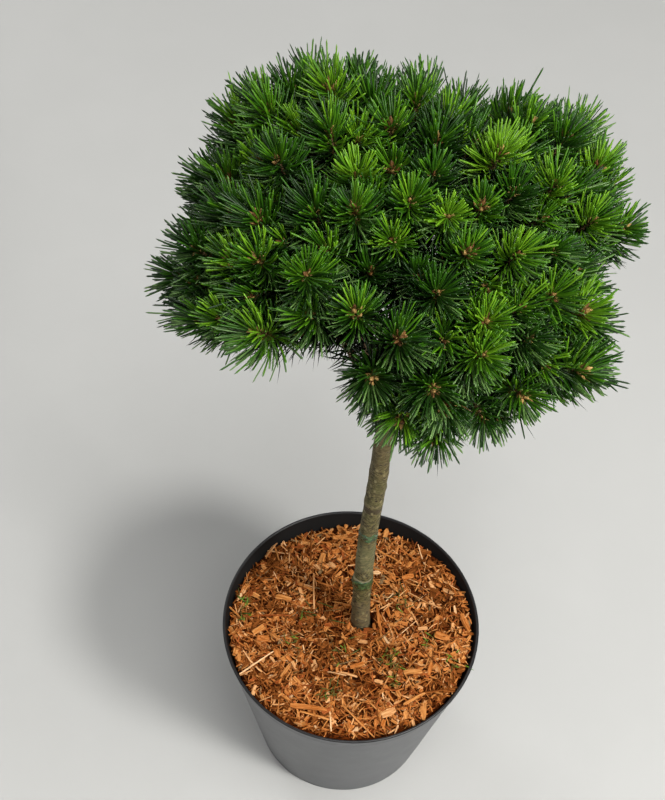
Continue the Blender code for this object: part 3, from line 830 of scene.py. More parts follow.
@dataclass
class Pot:
    """The thin round pot: a tapering wall, a slightly proud band and a rolled lip."""

    height: float = 160 * MM
    rim_radius: float = 92 * MM
    base_radius: float = 65 * MM
    floor: float = 3 * MM
    wall: float = 1.8 * MM
    band_height: float = 12 * MM
    band_proud: float = 0.25 * MM
    lip: float = 2.1 * MM
    lip_overhang: float = 0.5 * MM
    foot_rounding: float = 2 * MM
    recess_depth: float = 0.6 * MM
    recess_edge: Pair = (9 * MM, 8 * MM)
    sides: int = 192
    hole_count: int = 8
    hole_sides: int = 24
    hole_radius: float = 5 * MM
    hole_reach: float = 52 * MM

    def inner_radius(self, height: Number) -> Number:
        """The radius of the inner wall at a height, or at each of an array of heights."""
        share = (height - self.floor) / (self.height - self.floor)
        return mix(self.base_radius - self.wall, self.rim_radius - self.lip, share)

    def wall_radius(self, height: float) -> float:
        """The radius of the outer wall.

        Args:
            height: A height up to the band's lower edge.

        Returns:
            The radius.
        """
        top = self.rim_radius - self.lip - self.lip_overhang
        foot = self.foot_rounding
        share = (height - foot) / (self.height - self.band_height - 1 * MM - foot)
        return mix(self.base_radius, top, share)

    def profile(self) -> list[Pair]:
        """The turned outline.

        Returns:
            Its points as (radius, height), from the axis below to the axis inside.
        """
        band = self.height - self.band_height
        recess, rounding = self.recess_depth, self.foot_rounding
        inner, outer = (self.base_radius - edge for edge in self.recess_edge)
        points = [(0.0, recess), (inner, recess), (outer, 0.0)]
        points += arc(self.base_radius - rounding, rounding, rounding, range(-90, 1, 18))
        points.append((self.wall_radius(band - 1 * MM), band - 1 * MM))
        wall, edge = self.wall_radius(band), self.rim_radius - 1 * MM
        points += [(wall + s * self.band_proud, band - (1 - s) * 0.8 * MM) for s in (0.6, 0.95)]
        proud = wall + self.band_proud
        neck = self.height - self.lip - 0.5 * MM
        points += [(mix(proud, edge, s), mix(band, neck, s)) for s in (0.3, 0.9)]
        half = self.lip / 2
        points += arc(self.rim_radius - half, self.height - half, half, range(-60, 181, 24))
        shares = (0.985, 0.9, 0.6, 0.3, 0.02)
        points += [(self.inner_radius(h), h) for h in (mix(self.floor, self.height, s) for s in shares)]
        return points + [(self.inner_radius(self.floor) - 1 * MM, self.floor), (0.0, self.floor)]

    def build(self, outside: Material, inside: Material) -> Piece:
        """Turns the outline, cuts the drain holes and dresses the pot.

        Args:
            outside: The plastic of the side, the foot and the lip.
            inside: The darker plastic of the inner wall.

        Returns:
            The pot.
        """
        bm = bmesh.new()
        outline = self.profile()
        start = bm.verts.new((0.0, 0.0, outline[0][1]))
        end = bm.verts.new((0.0, 0.0, outline[-1][1]))
        loops = []
        for radius, height in outline[1:-1]:
            angles = (TURN * i / self.sides for i in range(self.sides))
            loops.append([bm.verts.new(ring_point(a, radius, height)) for a in angles])
        for i in range(self.sides):
            j = (i + 1) % self.sides
            bm.faces.new((start, loops[0][j], loops[0][i]))
            bm.faces.new((end, loops[-1][i], loops[-1][j]))
            for below, above in zip(loops, loops[1:]):
                bm.faces.new((below[i], below[j], above[j], above[i]))
        mesh = bpy.data.meshes.new("pot_shell")
        bmesh.ops.recalc_face_normals(bm, faces=bm.faces)
        bm.to_mesh(mesh)
        bm.free()
        shell = link("pot_shell", mesh)
        self._drain(shell)
        shell.data.materials.clear()
        shell.data.materials.append(outside)
        shell.data.materials.append(inside)
        for face in shell.data.polygons:
            spot = face.center
            within = hypot(spot.x, spot.y) < self.inner_radius(spot.z) + 0.5 * MM
            face.material_index = int(within and self.floor < spot.z < self.height - 0.4 * self.lip)
        shell.data.shade_smooth()
        shell.data.set_sharp_from_angle(angle=radians(35))
        return settle(shell, "pot_plastic", "pot")

    def _drain(self, shell: Piece) -> None:
        """Cuts a ring of drain holes through the floor.

        Args:
            shell: The turned pot.
        """
        bm = bmesh.new()
        hole = {"radius1": self.hole_radius, "radius2": self.hole_radius, "depth": 3 * self.floor}
        for k in range(self.hole_count):
            angle = TURN * (k + 0.5) / self.hole_count
            spot = Matrix.Translation(ring_point(angle, self.hole_reach, self.floor / 2))
            bmesh.ops.create_cone(bm, cap_ends=True, segments=self.hole_sides, matrix=spot, **hole)
        mesh = bpy.data.meshes.new("drain_holes")
        bm.to_mesh(mesh)
        bm.free()
        cutter = link("drain_holes", mesh)
        cut = shell.modifiers.new("Drain", "BOOLEAN")
        cut.operation = "DIFFERENCE"
        cut.object = cutter
        cut.solver = "EXACT"
        shape = bpy.data.meshes.new_from_object(shell.evaluated_get(bpy.context.evaluated_depsgraph_get()))
        shell.modifiers.clear()
        shell.data = shape
        bpy.data.objects.remove(cutter)


@dataclass
class Stem:
    """The bare trunk's run and girth, which ties, mulch and boughs all follow."""

    x: float = 3.2 * MM
    y: float = 8 * MM
    lean: float = 6.4 * MM
    foot: float = 130 * MM
    top: float = 515 * MM
    whorl: float = 502 * MM
    foot_radius: float = 6.7 * MM
    neck_radius: float = 5.5 * MM
    tip_radius: float = 4.0 * MM
    flare: float = 1.2 * MM
    flare_height: float = 11 * MM
    sweep: float = 5.4 * MM
    sweep_height: float = 35 * MM
    bend: float = 0.45 * MM
    bend_turns: float = 2.0
    graft: Triple = (1.4 * MM, 452 * MM, 20 * MM)
    scar: Triple = (0.25 * MM, 212 * MM, 8 * MM)
    bark_ring: Triple = (0.35 * MM, 320 * MM, 4 * MM)

    def centre(self, height: float) -> Vector:
        """The centre line.

        Args:
            height: A height above the ground.

        Returns:
            The point of the line at that height.
        """
        rise = (height - self.foot) / (self.top - self.foot)
        sweep = self.sweep * exp(-(height - self.foot) / self.sweep_height)
        bend = self.bend * sin(rise * TURN * self.bend_turns)
        return Vector((self.x + self.lean * rise + sweep + bend, self.y, height))

    def radius(self, height: float) -> float:
        """The girth's radius, without the bark's relief.

        Args:
            height: A height above the ground.

        Returns:
            The radius at that height.
        """
        rise = (height - self.foot) / (self.top - self.foot)
        radius = mix(self.foot_radius, self.neck_radius, rise)
        radius += self.flare * exp(-(height - self.foot) / self.flare_height)
        for swelling, middle, length in (self.graft, self.scar, self.bark_ring):
            radius += swelling * bump(height, middle, length)
        tip_share = max(0.0, (height - self.whorl) / (self.top - self.whorl))
        return mix(radius, self.tip_radius, tip_share)


@dataclass
class Trunk:
    """The bark of the bare stem, with lumps, wrinkles, scales, knots and the ring of old bark.

    The lengths of lumps, wrinkles, scales and knots are in millimetres. Each knot has its angle in
    degrees, and its height and its size in millimetres.
    """

    stem: Stem
    sides: int = 52
    step: float = 1.3 * MM
    lumps: float = 0.5 * MM
    wrinkles: float = 0.06 * MM
    scales: float = 0.16 * MM
    lump_length: float = 14.0
    wrinkle_length: float = 1.7
    scale_length: float = 3.6
    ring_depth: float = 0.25 * MM
    foot_gap: float = 0.3 * MM
    crown_height: float = 0.6 * MM
    knot_length: float = 3.2
    knots: tuple[Triple, ...] = (
        (226, 250, 1.3), (205, 214, 1.7), (20, 338, 1.0), (300, 392, 1.2), (150, 418, 1.1), (260, 160, 1.4)
    )

    def relief(self, angle: float, height: float) -> float:
        """How far the bark stands proud of the girth.

        Args:
            angle: The angle round the stem in radians.
            height: The height above the ground.

        Returns:
            The relief in metres, which may be below zero.
        """
        round_x, round_y = cos(angle), sin(angle)
        level = height / MM
        lumps = noise.noise(Vector((round_x * 1.2, round_y * 1.2, level / self.lump_length)))
        wrinkles = noise.noise(Vector((round_x * 2.2, round_y * 2.2, level / self.wrinkle_length)))
        cells = noise.voronoi(Vector((round_x * 2.8, round_y * 2.8, level / self.scale_length)))[0]
        scales = min(0.5, cells[1] - cells[0]) - 0.25
        relief = lumps * self.lumps + wrinkles * self.wrinkles + scales * self.scales
        relief -= self.ring_depth * bump(height, self.stem.bark_ring[1] - 4 * MM, 1.4 * MM)
        for degrees, middle, proud in self.knots:
            apart = (1.0 - cos(angle - radians(degrees))) * 9.0
            near = apart + ((level - middle) / self.knot_length) ** 2
            relief += proud * MM * (exp(-near) - 0.55 * exp(-near * 5.0))
        return relief

    def build(self, material: Material) -> Piece:
        """Models the bark as one closed tube with a rounded top.

        Args:
            material: The bark.

        Returns:
            The trunk.
        """
        stem = self.stem
        count = int((stem.top - stem.foot) / self.step)
        low, high = stem.foot + self.foot_gap, stem.top - self.crown_height
        angles = [TURN * i / self.sides for i in range(self.sides)]
        rows = []
        for height in (mix(low, high, k / count) for k in range(count + 1)):
            centre, girth = stem.centre(height), stem.radius(height)
            reach = [girth + self.relief(a, height) for a in angles]
            rows.append([ring_point(a, r, height, centre.x, centre.y) for r, a in zip(reach, angles)])
        crest = stem.centre(stem.top)
        narrowed = [crest + (Vector(point) - crest) * 0.6 for point in rows[-1]]
        rows.append([(point.x, point.y, stem.top) for point in narrowed])
        bark = Facets()
        bark.add_rows(rows)
        return settle(bark.make("trunk_bark", [material]), "trunk_bark", "trunk")


@dataclass
class Ties:
    """The two bands of thin stretch tie that are pressed on the bark."""

    trunk: Trunk
    heights: dict[str, float] = field(default_factory=lambda: {"tie_lower": 212 * MM, "tie_upper": 278 * MM})
    widths: tuple[float, ...] = (11 * MM, 7 * MM)
    slant: float = 2.6 * MM
    fray: float = 3.6 * MM
    thickness: float = 0.35 * MM
    clearance: float = 0.08 * MM
    sides: int = 72
    rows: int = 11

    def build(self, material: Material) -> None:
        """Models and dresses each band.

        Args:
            material: The tie's film.
        """
        for index, (name, height) in enumerate(self.heights.items()):
            settle(self._band(name, height, index, material), "plant_tie", name)

    def _band(self, name: str, height: float, index: int, material: Material) -> Piece:
        """One wrinkled band, pulled tight on the bark, with a slant and a frayed hem.

        Args:
            name: The node's name.
            height: The band's middle height.
            index: The band's number, which varies its wrinkles.
            material: The tie's film.

        Returns:
            The band.
        """
        rings = []
        for side in range(2):
            for k in range(self.rows):
                share = k / (self.rows - 1)
                level = share if side == 0 else 1.0 - share
                turns = (TURN * i / self.sides for i in range(self.sides))
                rings.append([self._spot(height, turn, level, index, side) for turn in turns])
        band = Facets()
        band.add_rows(rings, closed=True)
        return band.make(f"{name}_band", [material])

    def _spot(self, height: float, angle: float, level: float, index: int, side: int) -> Triple:
        """A point of the film.

        Args:
            height: The band's middle height.
            angle: The angle round the stem in radians.
            level: The share of the way from the lower hem to the upper one.
            index: The band's number.
            side: 0 for the outer face, 1 for the inner one.

        Returns:
            The point.
        """
        spot = Vector((cos(angle) * 1.5 + index * 9, sin(angle) * 1.5, level * 1.3))
        hem = noise.noise(spot * 1.4 + UP * 4) * self.fray * (2 * level - 1)
        slant = self.slant * sin(angle + 2.2 + index)
        z = height + (level - 0.5) * self.widths[index] + hem + slant * 0.5
        fold = 0.5 + 0.5 * noise.noise(Vector((spot.x * 1.2, spot.y * 1.2, level * 7)))
        rolled = 1.0 - 0.7 * bump(level, 0.0, 0.07) - 0.7 * bump(level, 1.0, 0.07)
        proud = (0.3 + 0.7 * fold) * self.thickness * rolled if side == 0 else 0.0
        stem = self.trunk.stem
        radius = stem.radius(z) + self.trunk.relief(angle, z) + self.clearance + proud
        centre = stem.centre(z)
        return ring_point(angle, radius, z, centre.x, centre.y)


@dataclass(frozen=True)
class Splinters:
    """One kind of splinter: its number, least and greatest sizes in millimetres, slope and tones."""

    count: int
    lengths: Pair
    widths: Pair
    depths: Pair
    tilt: float
    shares: tuple[float, ...]


SHREDS = (
    Splinters(3900, (3.5, 12), (0.35, 1.1), (0.3, 0.6), 0.28, SHRED_SHARES),
    Splinters(900, (2.5, 5.5), (0.8, 2.0), (0.5, 1.1), 0.38, SHRED_SHARES),
    Splinters(110, (16, 32), (0.5, 1.3), (0.4, 0.6), 0.12, CHIP_SHARES),
)
FLAKES = (
    Splinters(520, (3.0, 8), (1.5, 3.5), (0.4, 1.1), 0.34, CHIP_SHARES),
    Splinters(18, (8, 14), (2.2, 4.2), (0.8, 1.6), 0.2, CHIP_SHARES),
)


# Large chips and long straws: x and y in millimetres, heading in degrees, length and width in
# millimetres, and tone
LAID_CHIPS = (
    (31, 24, 48, 24, 0.9, 3), (36, 26, -58, 27, 0.9, 1), (54, 24, -24, 30, 0.8, 3),
    (20, 8, -80, 25, 2.2, 0), (-26, -66, -4, 26, 4.0, 0), (-20, -72, -12, 24, 1.8, 1),
    (30, -66, 30, 11, 4.4, 3), (26, -8, -62, 8, 1.8, 6), (66, -4, -20, 11, 5.0, 0),
    (52, 2, 10, 7, 3.6, 3), (-50, 20, -10, 12, 4.0, 1), (-66, -8, 40, 10, 4.6, 1),
    (-62, -14, 0, 9, 4.0, 0), (82, 8, -70, 15, 3.6, 0), (46, -34, 5, 13, 3.4, 1),
    (-80, 10, 70, 11, 1.0, 3), (40, 44, 20, 9, 4.0, 0), (-24, 56, 80, 9, 4.6, 1),
    (-62, 60, 60, 15, 1.4, 3), (-58, 58, 110, 14, 1.2, 1), (0, -38, 165, 14, 1.5, 3),
    (48, -54, 35, 19, 2.0, 1), (-44, -38, 60, 13, 2.0, 1), (70, 34, -30, 9, 3.6, 3),
    (6, -30, 25, 10, 3.0, 0), (-34, 30, -25, 12, 2.4, 1), (58, -30, 80, 10, 2.8, 0),
    (-12, 76, 10, 11, 3.0, 1),
)
# Small tufts of needles on the mulch: x and y in millimetres
TUFTS = (
    (-39, -15), (-9, -20), (26, -20), (33, -29), (35, -42), (-10, -51), (-78, 3),
    (57, -7), (38, 20), (-32, 8), (74, -24), (-14, -55), (-78, 14), (29, -24),
)


@dataclass
class Mulch:
    """The layer of bark mulch: a lumpy bed, and the shreds, chips and needles that lie on it."""

    pot: Pot
    stem: Stem
    foot: float = 130.3 * MM
    back: float = 146 * MM
    front: float = 155 * MM
    unevenness: float = 1.3 * MM
    waves: Triple = (11 * MM, 13 * MM, 6 * MM)
    tilt: float = 2.2 * MM
    hollow_radius: float = 9.4 * MM
    hollow_depth: float = 3 * MM
    wall_gap: float = 0.6 * MM
    edge_rise: float = 4 * MM
    bed_spokes: int = 160
    bed_rings: int = 46
    bed_sink: float = 1.6 * MM
    bed_lumps: float = 1.3 * MM
    bed_lump_scale: float = 160
    pile_depth: float = 2.6
    margin: float = 1 * MM
    splinter_bow: float = 0.055
    damp_size: float = 26 * MM
    damp_level: float = 0.08
    damp_share: float = 0.5
    laid_rings: tuple[float, ...] = (-0.5, -0.36, 0.02, 0.38, 0.5)
    laid_girths: tuple[float, ...] = (0.7, 0.9, 1.0, 0.85, 0.5)
    laid_lift: float = 1.7
    laid_lift_by_width: float = 0.12
    tuft_needles: int = 9
    tuft_radius: float = 3.0 * MM
    tuft_lengths: Pair = (3.5, 8.0)
    loose_needles: int = 26
    loose_lengths: Pair = (8, 18)
    needle_lift: Pair = (1.8, 3.0)
    seed: int = 71

    def surface(self, x: float, y: float) -> float:
        """The height of the mulch.

        Args:
            x: The place to the right of the pot's axis.
            y: The place behind it.

        Returns:
            The height at that place.
        """
        reach = self.pot.inner_radius(self.back)
        share = 0.5 - 0.5 * y / reach
        wide, deep, slant = self.waves
        humps = sin(x / wide + 1.3) * cos(y / deep) + 0.6 * sin((x - y) / slant)
        apart = hypot(x - self.stem.x - self.stem.sweep, y - self.stem.y)
        dip = self.hollow_depth * bump(apart, 0.0, 1.5 * self.hollow_radius)
        lean = self.tilt * x / reach + self.edge_rise * (x / reach) ** 2 * (hypot(x, y) / reach) ** 4
        return mix(self.back, self.front, share) + lean + self.unevenness * humps - dip

    def build(self, bed: Material, chips: list[Material], greens: list[Material]) -> None:
        """Models and dresses the bed, the chips and the litter.

        Args:
            bed: The ground between the chips, partly its own dark colour and partly painted shade.
            chips: The tones of wood and bark.
            greens: The tones of needles, for the few that lie on the mulch.
        """
        settle(self._bed(bed), "bark_mulch", "mulch")
        rng = np.random.default_rng(self.seed)
        shreds, flakes, litter = Facets(grain=True), Facets(grain=True), Facets()
        for kind in SHREDS:
            self._scatter(shreds, rng, kind)
        settle(shreds.make("mulch_shreds", chips, smooth=False), "bark_mulch")
        for kind in FLAKES:
            self._scatter(flakes, rng, kind)
        self._lay(flakes, rng)
        settle(flakes.make("mulch_chips", chips, smooth=False), "bark_mulch")
        self._litter(litter, rng)
        settle(litter.make("fallen_needles", greens), "needles")

    def _bed(self, material: Material) -> Piece:
        """The lumpy ground between the chips, closed underneath.

        Args:
            material: Its finish.

        Returns:
            The bed.
        """
        centre = self.stem.centre(self.foot)
        middle = Vector((centre.x, centre.y, 0))
        reach = self.pot.inner_radius(self.back) - self.wall_gap
        rows = []
        for share in (r / self.bed_rings for r in range(self.bed_rings + 1)):
            row = []
            for i in range(self.bed_spokes):
                spoke = Vector(ring_point(TURN * i / self.bed_spokes, 1.0, 0.0))
                spot = mix(middle + spoke * self.hollow_radius * 0.9, spoke * reach, share)
                lumps = self.bed_lumps * noise.fractal(spot * self.bed_lump_scale, 0.9, 2.1, 4)
                row.append((spot.x, spot.y, self.surface(spot.x, spot.y) - self.bed_sink + lumps))
            rows.append(row)
        narrowing = self.pot.inner_radius(self.foot) / self.pot.inner_radius(self.back)
        rows.append([(x * narrowing, y * narrowing, self.foot) for x, y, _ in rows[-1]])
        rows.insert(0, [(x, y, self.foot) for x, y, _ in rows[0]])
        ground = Facets()
        ground.add_rows(rows, closed=True, flipped=True)
        return ground.make("mulch_bed", [material])

    def _scatter(self, pile: Facets, rng: Chance, kind: Splinters) -> None:
        """Lays splinters of wood on the surface, lying flat but for a random tilt.

        Args:
            pile: The mesh that they join.
            rng: The source of chance.
            kind: Their number, sizes, slopes and tones.
        """
        count = kind.count
        length = rng.uniform(*kind.lengths, count) * MM
        width = rng.uniform(*kind.widths, count) * MM
        depth = rng.uniform(*kind.depths, count) * MM
        widest = self.pot.inner_radius(self.back) - self.wall_gap - self.margin
        reach = np.sqrt(rng.uniform(0.0, 1.0, count)) * widest
        angle = rng.uniform(0.0, TURN, count)
        x, y = reach * np.cos(angle), reach * np.sin(angle)
        yaw = rng.uniform(0.0, TURN, count)
        pitch = rng.normal(0.0, kind.tilt, count)
        run = np.stack([np.cos(yaw) * np.cos(pitch), np.sin(yaw) * np.cos(pitch), np.sin(pitch)], axis=1)
        rank = rng.uniform(0.0, 1.0, count)
        ground = np.array([self.surface(a, b) for a, b in zip(x, y)])
        z = ground + depth / 2 + (rank * self.pile_depth - self.pile_depth / 2) * MM
        middle = np.stack([x, y, z], axis=1)

        # Those that would lie in the stem are left out, and the others stay inside the pot
        offset = np.stack([x - self.stem.x - self.stem.sweep, y - self.stem.y], axis=1)
        apart = np.linalg.norm(offset, axis=1)
        facing = np.abs(np.sum(run[:, :2] * offset, axis=1)) / np.maximum(apart, MM)
        keep = apart - 0.35 * length * facing > self.hollow_radius - self.margin
        middle, run, length, width, depth = (a[keep] for a in (middle, run, length, width, depth))
        for end in (-0.5, 0.5, -0.5, 0.5):
            tip = middle + run * (length * end)[:, None]
            far = np.linalg.norm(tip[:, :2], axis=1)
            room = self.pot.inner_radius(tip[:, 2]) - self.wall_gap
            pull = np.maximum(far - room, 0.0) / np.maximum(far, MM)
            middle[:, :2] -= tip[:, :2] * pull[:, None]
        roof = self.pot.height - self.margin
        top = middle[:, 2] + np.abs(run[:, 2]) * length / 2 + depth
        middle[:, 2] -= np.maximum(top - roof, 0.0)

        count = len(middle)
        rings = np.linspace(-0.5, 0.5, 4)
        flank = unit(np.cross(run, rng.normal(size=(count, 3))))
        bow = flank * (rng.normal(0.0, self.splinter_bow, count) * length)[:, None]
        along = run[:, None] * (rings[:, None] * length[:, None, None])
        centres = middle[:, None] + along + bow[:, None] * (rings**2 * 4 - 1)[:, None]
        near = rng.uniform(0.5, 1.0, count)
        inner = rng.uniform(0.85, 1.12, (2, count))
        girths = np.stack([near, *inner, rng.uniform(0.4, 1.0, count)], axis=1)
        radii = girths * (width / sqrt(2))[:, None]
        roll = unit(np.cross(run, np.array([0.0, 0.0, 1.0]) + rng.normal(0.0, 0.28, (count, 3))))
        tones = rng.choice(len(kind.shares), count, p=kind.shares)
        damp = np.array([noise.noise(Vector(tuple(spot)) / self.damp_size) for spot in middle])
        tones = np.where((damp > self.damp_level) & (rng.random(count) < self.damp_share), DAMP_TONE, tones)
        thin = np.median(depth / width)
        pile.add_tubes(centres, radii, roll, TubeForm(4, float(thin), turn=pi / 4), tones)

    def _lay(self, pile: Facets, rng: Chance) -> None:
        """Lays the large chips and the long straws that catch the eye, each at its own place.

        Args:
            pile: The mesh that they join.
            rng: The source of chance.
        """
        girths = np.array(self.laid_girths)
        for x, y, degrees, length, width, tone in LAID_CHIPS:
            spot = Vector((x, y, 0)) * MM
            yaw = radians(degrees)
            run = Vector((cos(yaw), sin(yaw), rng.normal(0.0, 0.05)))
            bow = rng.normal(0.0, 0.04) * length * MM
            lift = (self.laid_lift + self.laid_lift_by_width * width) * MM
            centres = []
            for share in self.laid_rings:
                at = spot + run * (share * length * MM)
                height = self.surface(at.x, at.y) + lift + run.z * share * length * MM
                centres.append((at.x, at.y, height + bow * (4 * share * share - 1)))
            radii = girths * rng.uniform(0.75, 1.15, len(girths)) * width / sqrt(2) * MM
            roll = Vector((-run.y, run.x, rng.normal(0.0, 0.2)))
            form = TubeForm(4, 0.3 if width > 1.5 else 0.8, turn=rng.uniform(0.5, 1.0))
            pile.add_tubes(np.array([centres]), radii[None], np.array([tuple(roll)]), form, np.array([tone]))

    def _litter(self, pile: Facets, rng: Chance) -> None:
        """Lays needles on the chips, single fallen ones and small fresh tufts.

        Args:
            pile: The mesh that they join.
            rng: The source of chance.
        """
        tufts = np.repeat(np.array(TUFTS) * MM, self.tuft_needles, axis=0)
        spread = rng.normal(0.0, self.tuft_radius, (len(tufts), 2))
        loose = rng.uniform(-0.7, 0.7, (self.loose_needles, 2)) * self.pot.base_radius
        spot = np.concatenate([tufts + spread, loose])
        count = len(spot)
        fresh = np.arange(count) < len(tufts)
        yaw = rng.uniform(0.0, TURN, count)
        lengths = rng.uniform(*self.tuft_lengths, count), rng.uniform(*self.loose_lengths, count)
        length = np.where(fresh, *lengths) * MM
        slope = np.where(fresh, rng.uniform(0.0, 0.8, count), rng.normal(0.0, 0.08, count))
        run = unit(np.stack([np.cos(yaw), np.sin(yaw), slope], axis=1))
        z = np.array([self.surface(a, b) for a, b in spot]) + rng.uniform(*self.needle_lift, count) * MM
        foot = np.column_stack([spot, z])
        shares = np.linspace(0.0, 1.0, 4)
        centres = foot[:, None] + run[:, None] * (shares[:, None] * length[:, None, None])
        tuft_tones = rng.choice([Tone.YOUNG, Tone.FULL, Tone.FOOT], count, p=[0.25, 0.1, 0.65])
        loose_tones = rng.choice([Tone.FULL, Tone.DEEP, Tone.DRY], count, p=[0.2, 0.2, 0.6])
        radii = np.array([0.55, 0.75, 0.6]) * MM * np.where(fresh, 1.0, 0.75)[:, None]
        upright = np.tile([0.0, 0.0, 1.0], (count, 1))
        tones = np.where(fresh, tuft_tones, loose_tones)
        pile.add_tubes(centres, radii, upright, TubeForm(3, 0.6, True), tones)


class Tier(Enum):
    """The whorls that boughs leave the trunk in, with their heights."""

    LOWER = 466 * MM
    MIDDLE = 484 * MM
    TOP = 502 * MM


@dataclass(frozen=True)
class Mass:
    """Where a mass of foliage lies on the dome, in degrees seen from the crown's heart."""

    tier: Tier
    azimuth: float
    elevation: float
    reach: float


MASSES = {
    "lower_left": Mass(Tier.LOWER, -156, 2, 1.03),
    "lower_front": Mass(Tier.LOWER, -86, 0, 0.94),
    "lower_front_right": Mass(Tier.LOWER, -45, 0, 1.00),
    "lower_right": Mass(Tier.LOWER, -8, 0, 0.97),
    "lower_back_right": Mass(Tier.LOWER, 42, 0, 1.00),
    "lower_back": Mass(Tier.LOWER, 96, 0, 0.90),
    "lower_back_left": Mass(Tier.LOWER, 147, 0, 0.96),
    "left": Mass(Tier.MIDDLE, -178, 33, 0.95),
    "front_left": Mass(Tier.MIDDLE, -128, 33, 1.00),
    "front": Mass(Tier.MIDDLE, -81, 36, 1.00),
    "front_right": Mass(Tier.MIDDLE, -36, 36, 1.00),
    "right": Mass(Tier.MIDDLE, 10, 30, 1.07),
    "back_right": Mass(Tier.MIDDLE, 42, 34, 1.07),
    "back": Mass(Tier.MIDDLE, 86, 30, 0.92),
    "back_left": Mass(Tier.MIDDLE, 128, 35, 1.06),
    "top_left": Mass(Tier.TOP, -170, 64, 1.00),
    "top_front": Mass(Tier.TOP, -90, 68, 0.98),
    "top_right": Mass(Tier.TOP, -2, 64, 1.00),
    "top_back": Mass(Tier.TOP, 86, 64, 0.93),
}


# Hollows in the dome where no shoot grows: azimuth, elevation and radius in degrees
HOLLOWS = (
    (-118, -4, 21), (-104, 18, 9), (-140, -8, 8), (-6, 1, 10), (60, 42, 9),
)

# Swells and dips of the dome: azimuth, elevation and radius in degrees, and the gain in reach
SWELLS = (
    (62, 32, 10, -0.10), (79, 32, 11, -0.16), (97, 36, 7, 0.07), (105, 34, 6, -0.08),
    (122, 28, 9, 0.07), (138, 31, 9, 0.11), (151, 26, 7, -0.07), (178, 6, 12, -0.21),
    (-159, -4, 11, 0.13), (-117, 30, 10, -0.08), (8, 14, 12, 0.03), (7, 4, 9, -0.18),
    (-16, 24, 8, -0.08), (-34, -9, 18, 0.10), (-77, -12, 11, 0.20), (-99, 6, 10, -0.15),
    (-97, 55, 8, -0.30), (152, 79, 10, -0.28), (-60, 14, 7, -0.22),
)

# Valleys between the lobes, where shoots stay low and short and are dealt darker tones as painted shade:
# azimuth, elevation and radius in degrees, and the loss of reach
VALLEYS = (
    (50, 82, 8, 0.20), (-80, 83, 7, 0.16), (-104, 53, 9, 0.10), (-88, 53, 7, 0.20), (-167, 58, 7, 0.20),
    (-68, 52, 6, 0.16), (-54, 17, 7, 0.20), (-125, 36, 6, 0.12), (-19, 62, 6, 0.12), (-162, 6, 6, 0.14),
    (-20, 39, 6, 0.14), (-93, 31, 6, 0.12), (109, 39, 6, 0.10), (133, 38, 6, 0.09), (57, 50, 9, 0.22),
    (61, 21, 8, 0.20), (26, 43, 5, 0.03), (19, 24, 9, 0.05), (-169, -6, 5, 0.06), (168, 23, 5, 0.03),
    (-94, -17, 5, 0.20),
)


class Spray(Enum):
    """The kinds of shoot: the leader that a bough feeds, and the side shoot off a leader."""

    LEADER = "leader"
    SIDE = "side"


@dataclass
class Shoot:
    """One shoot: the run of its twig from the fork to the bud, its heading and its mass."""

    mass: str
    kind: Spray
    bud: Vector
    axis: Vector
    run: list[Vector] = field(default_factory=list)
    shade: float = 0.0


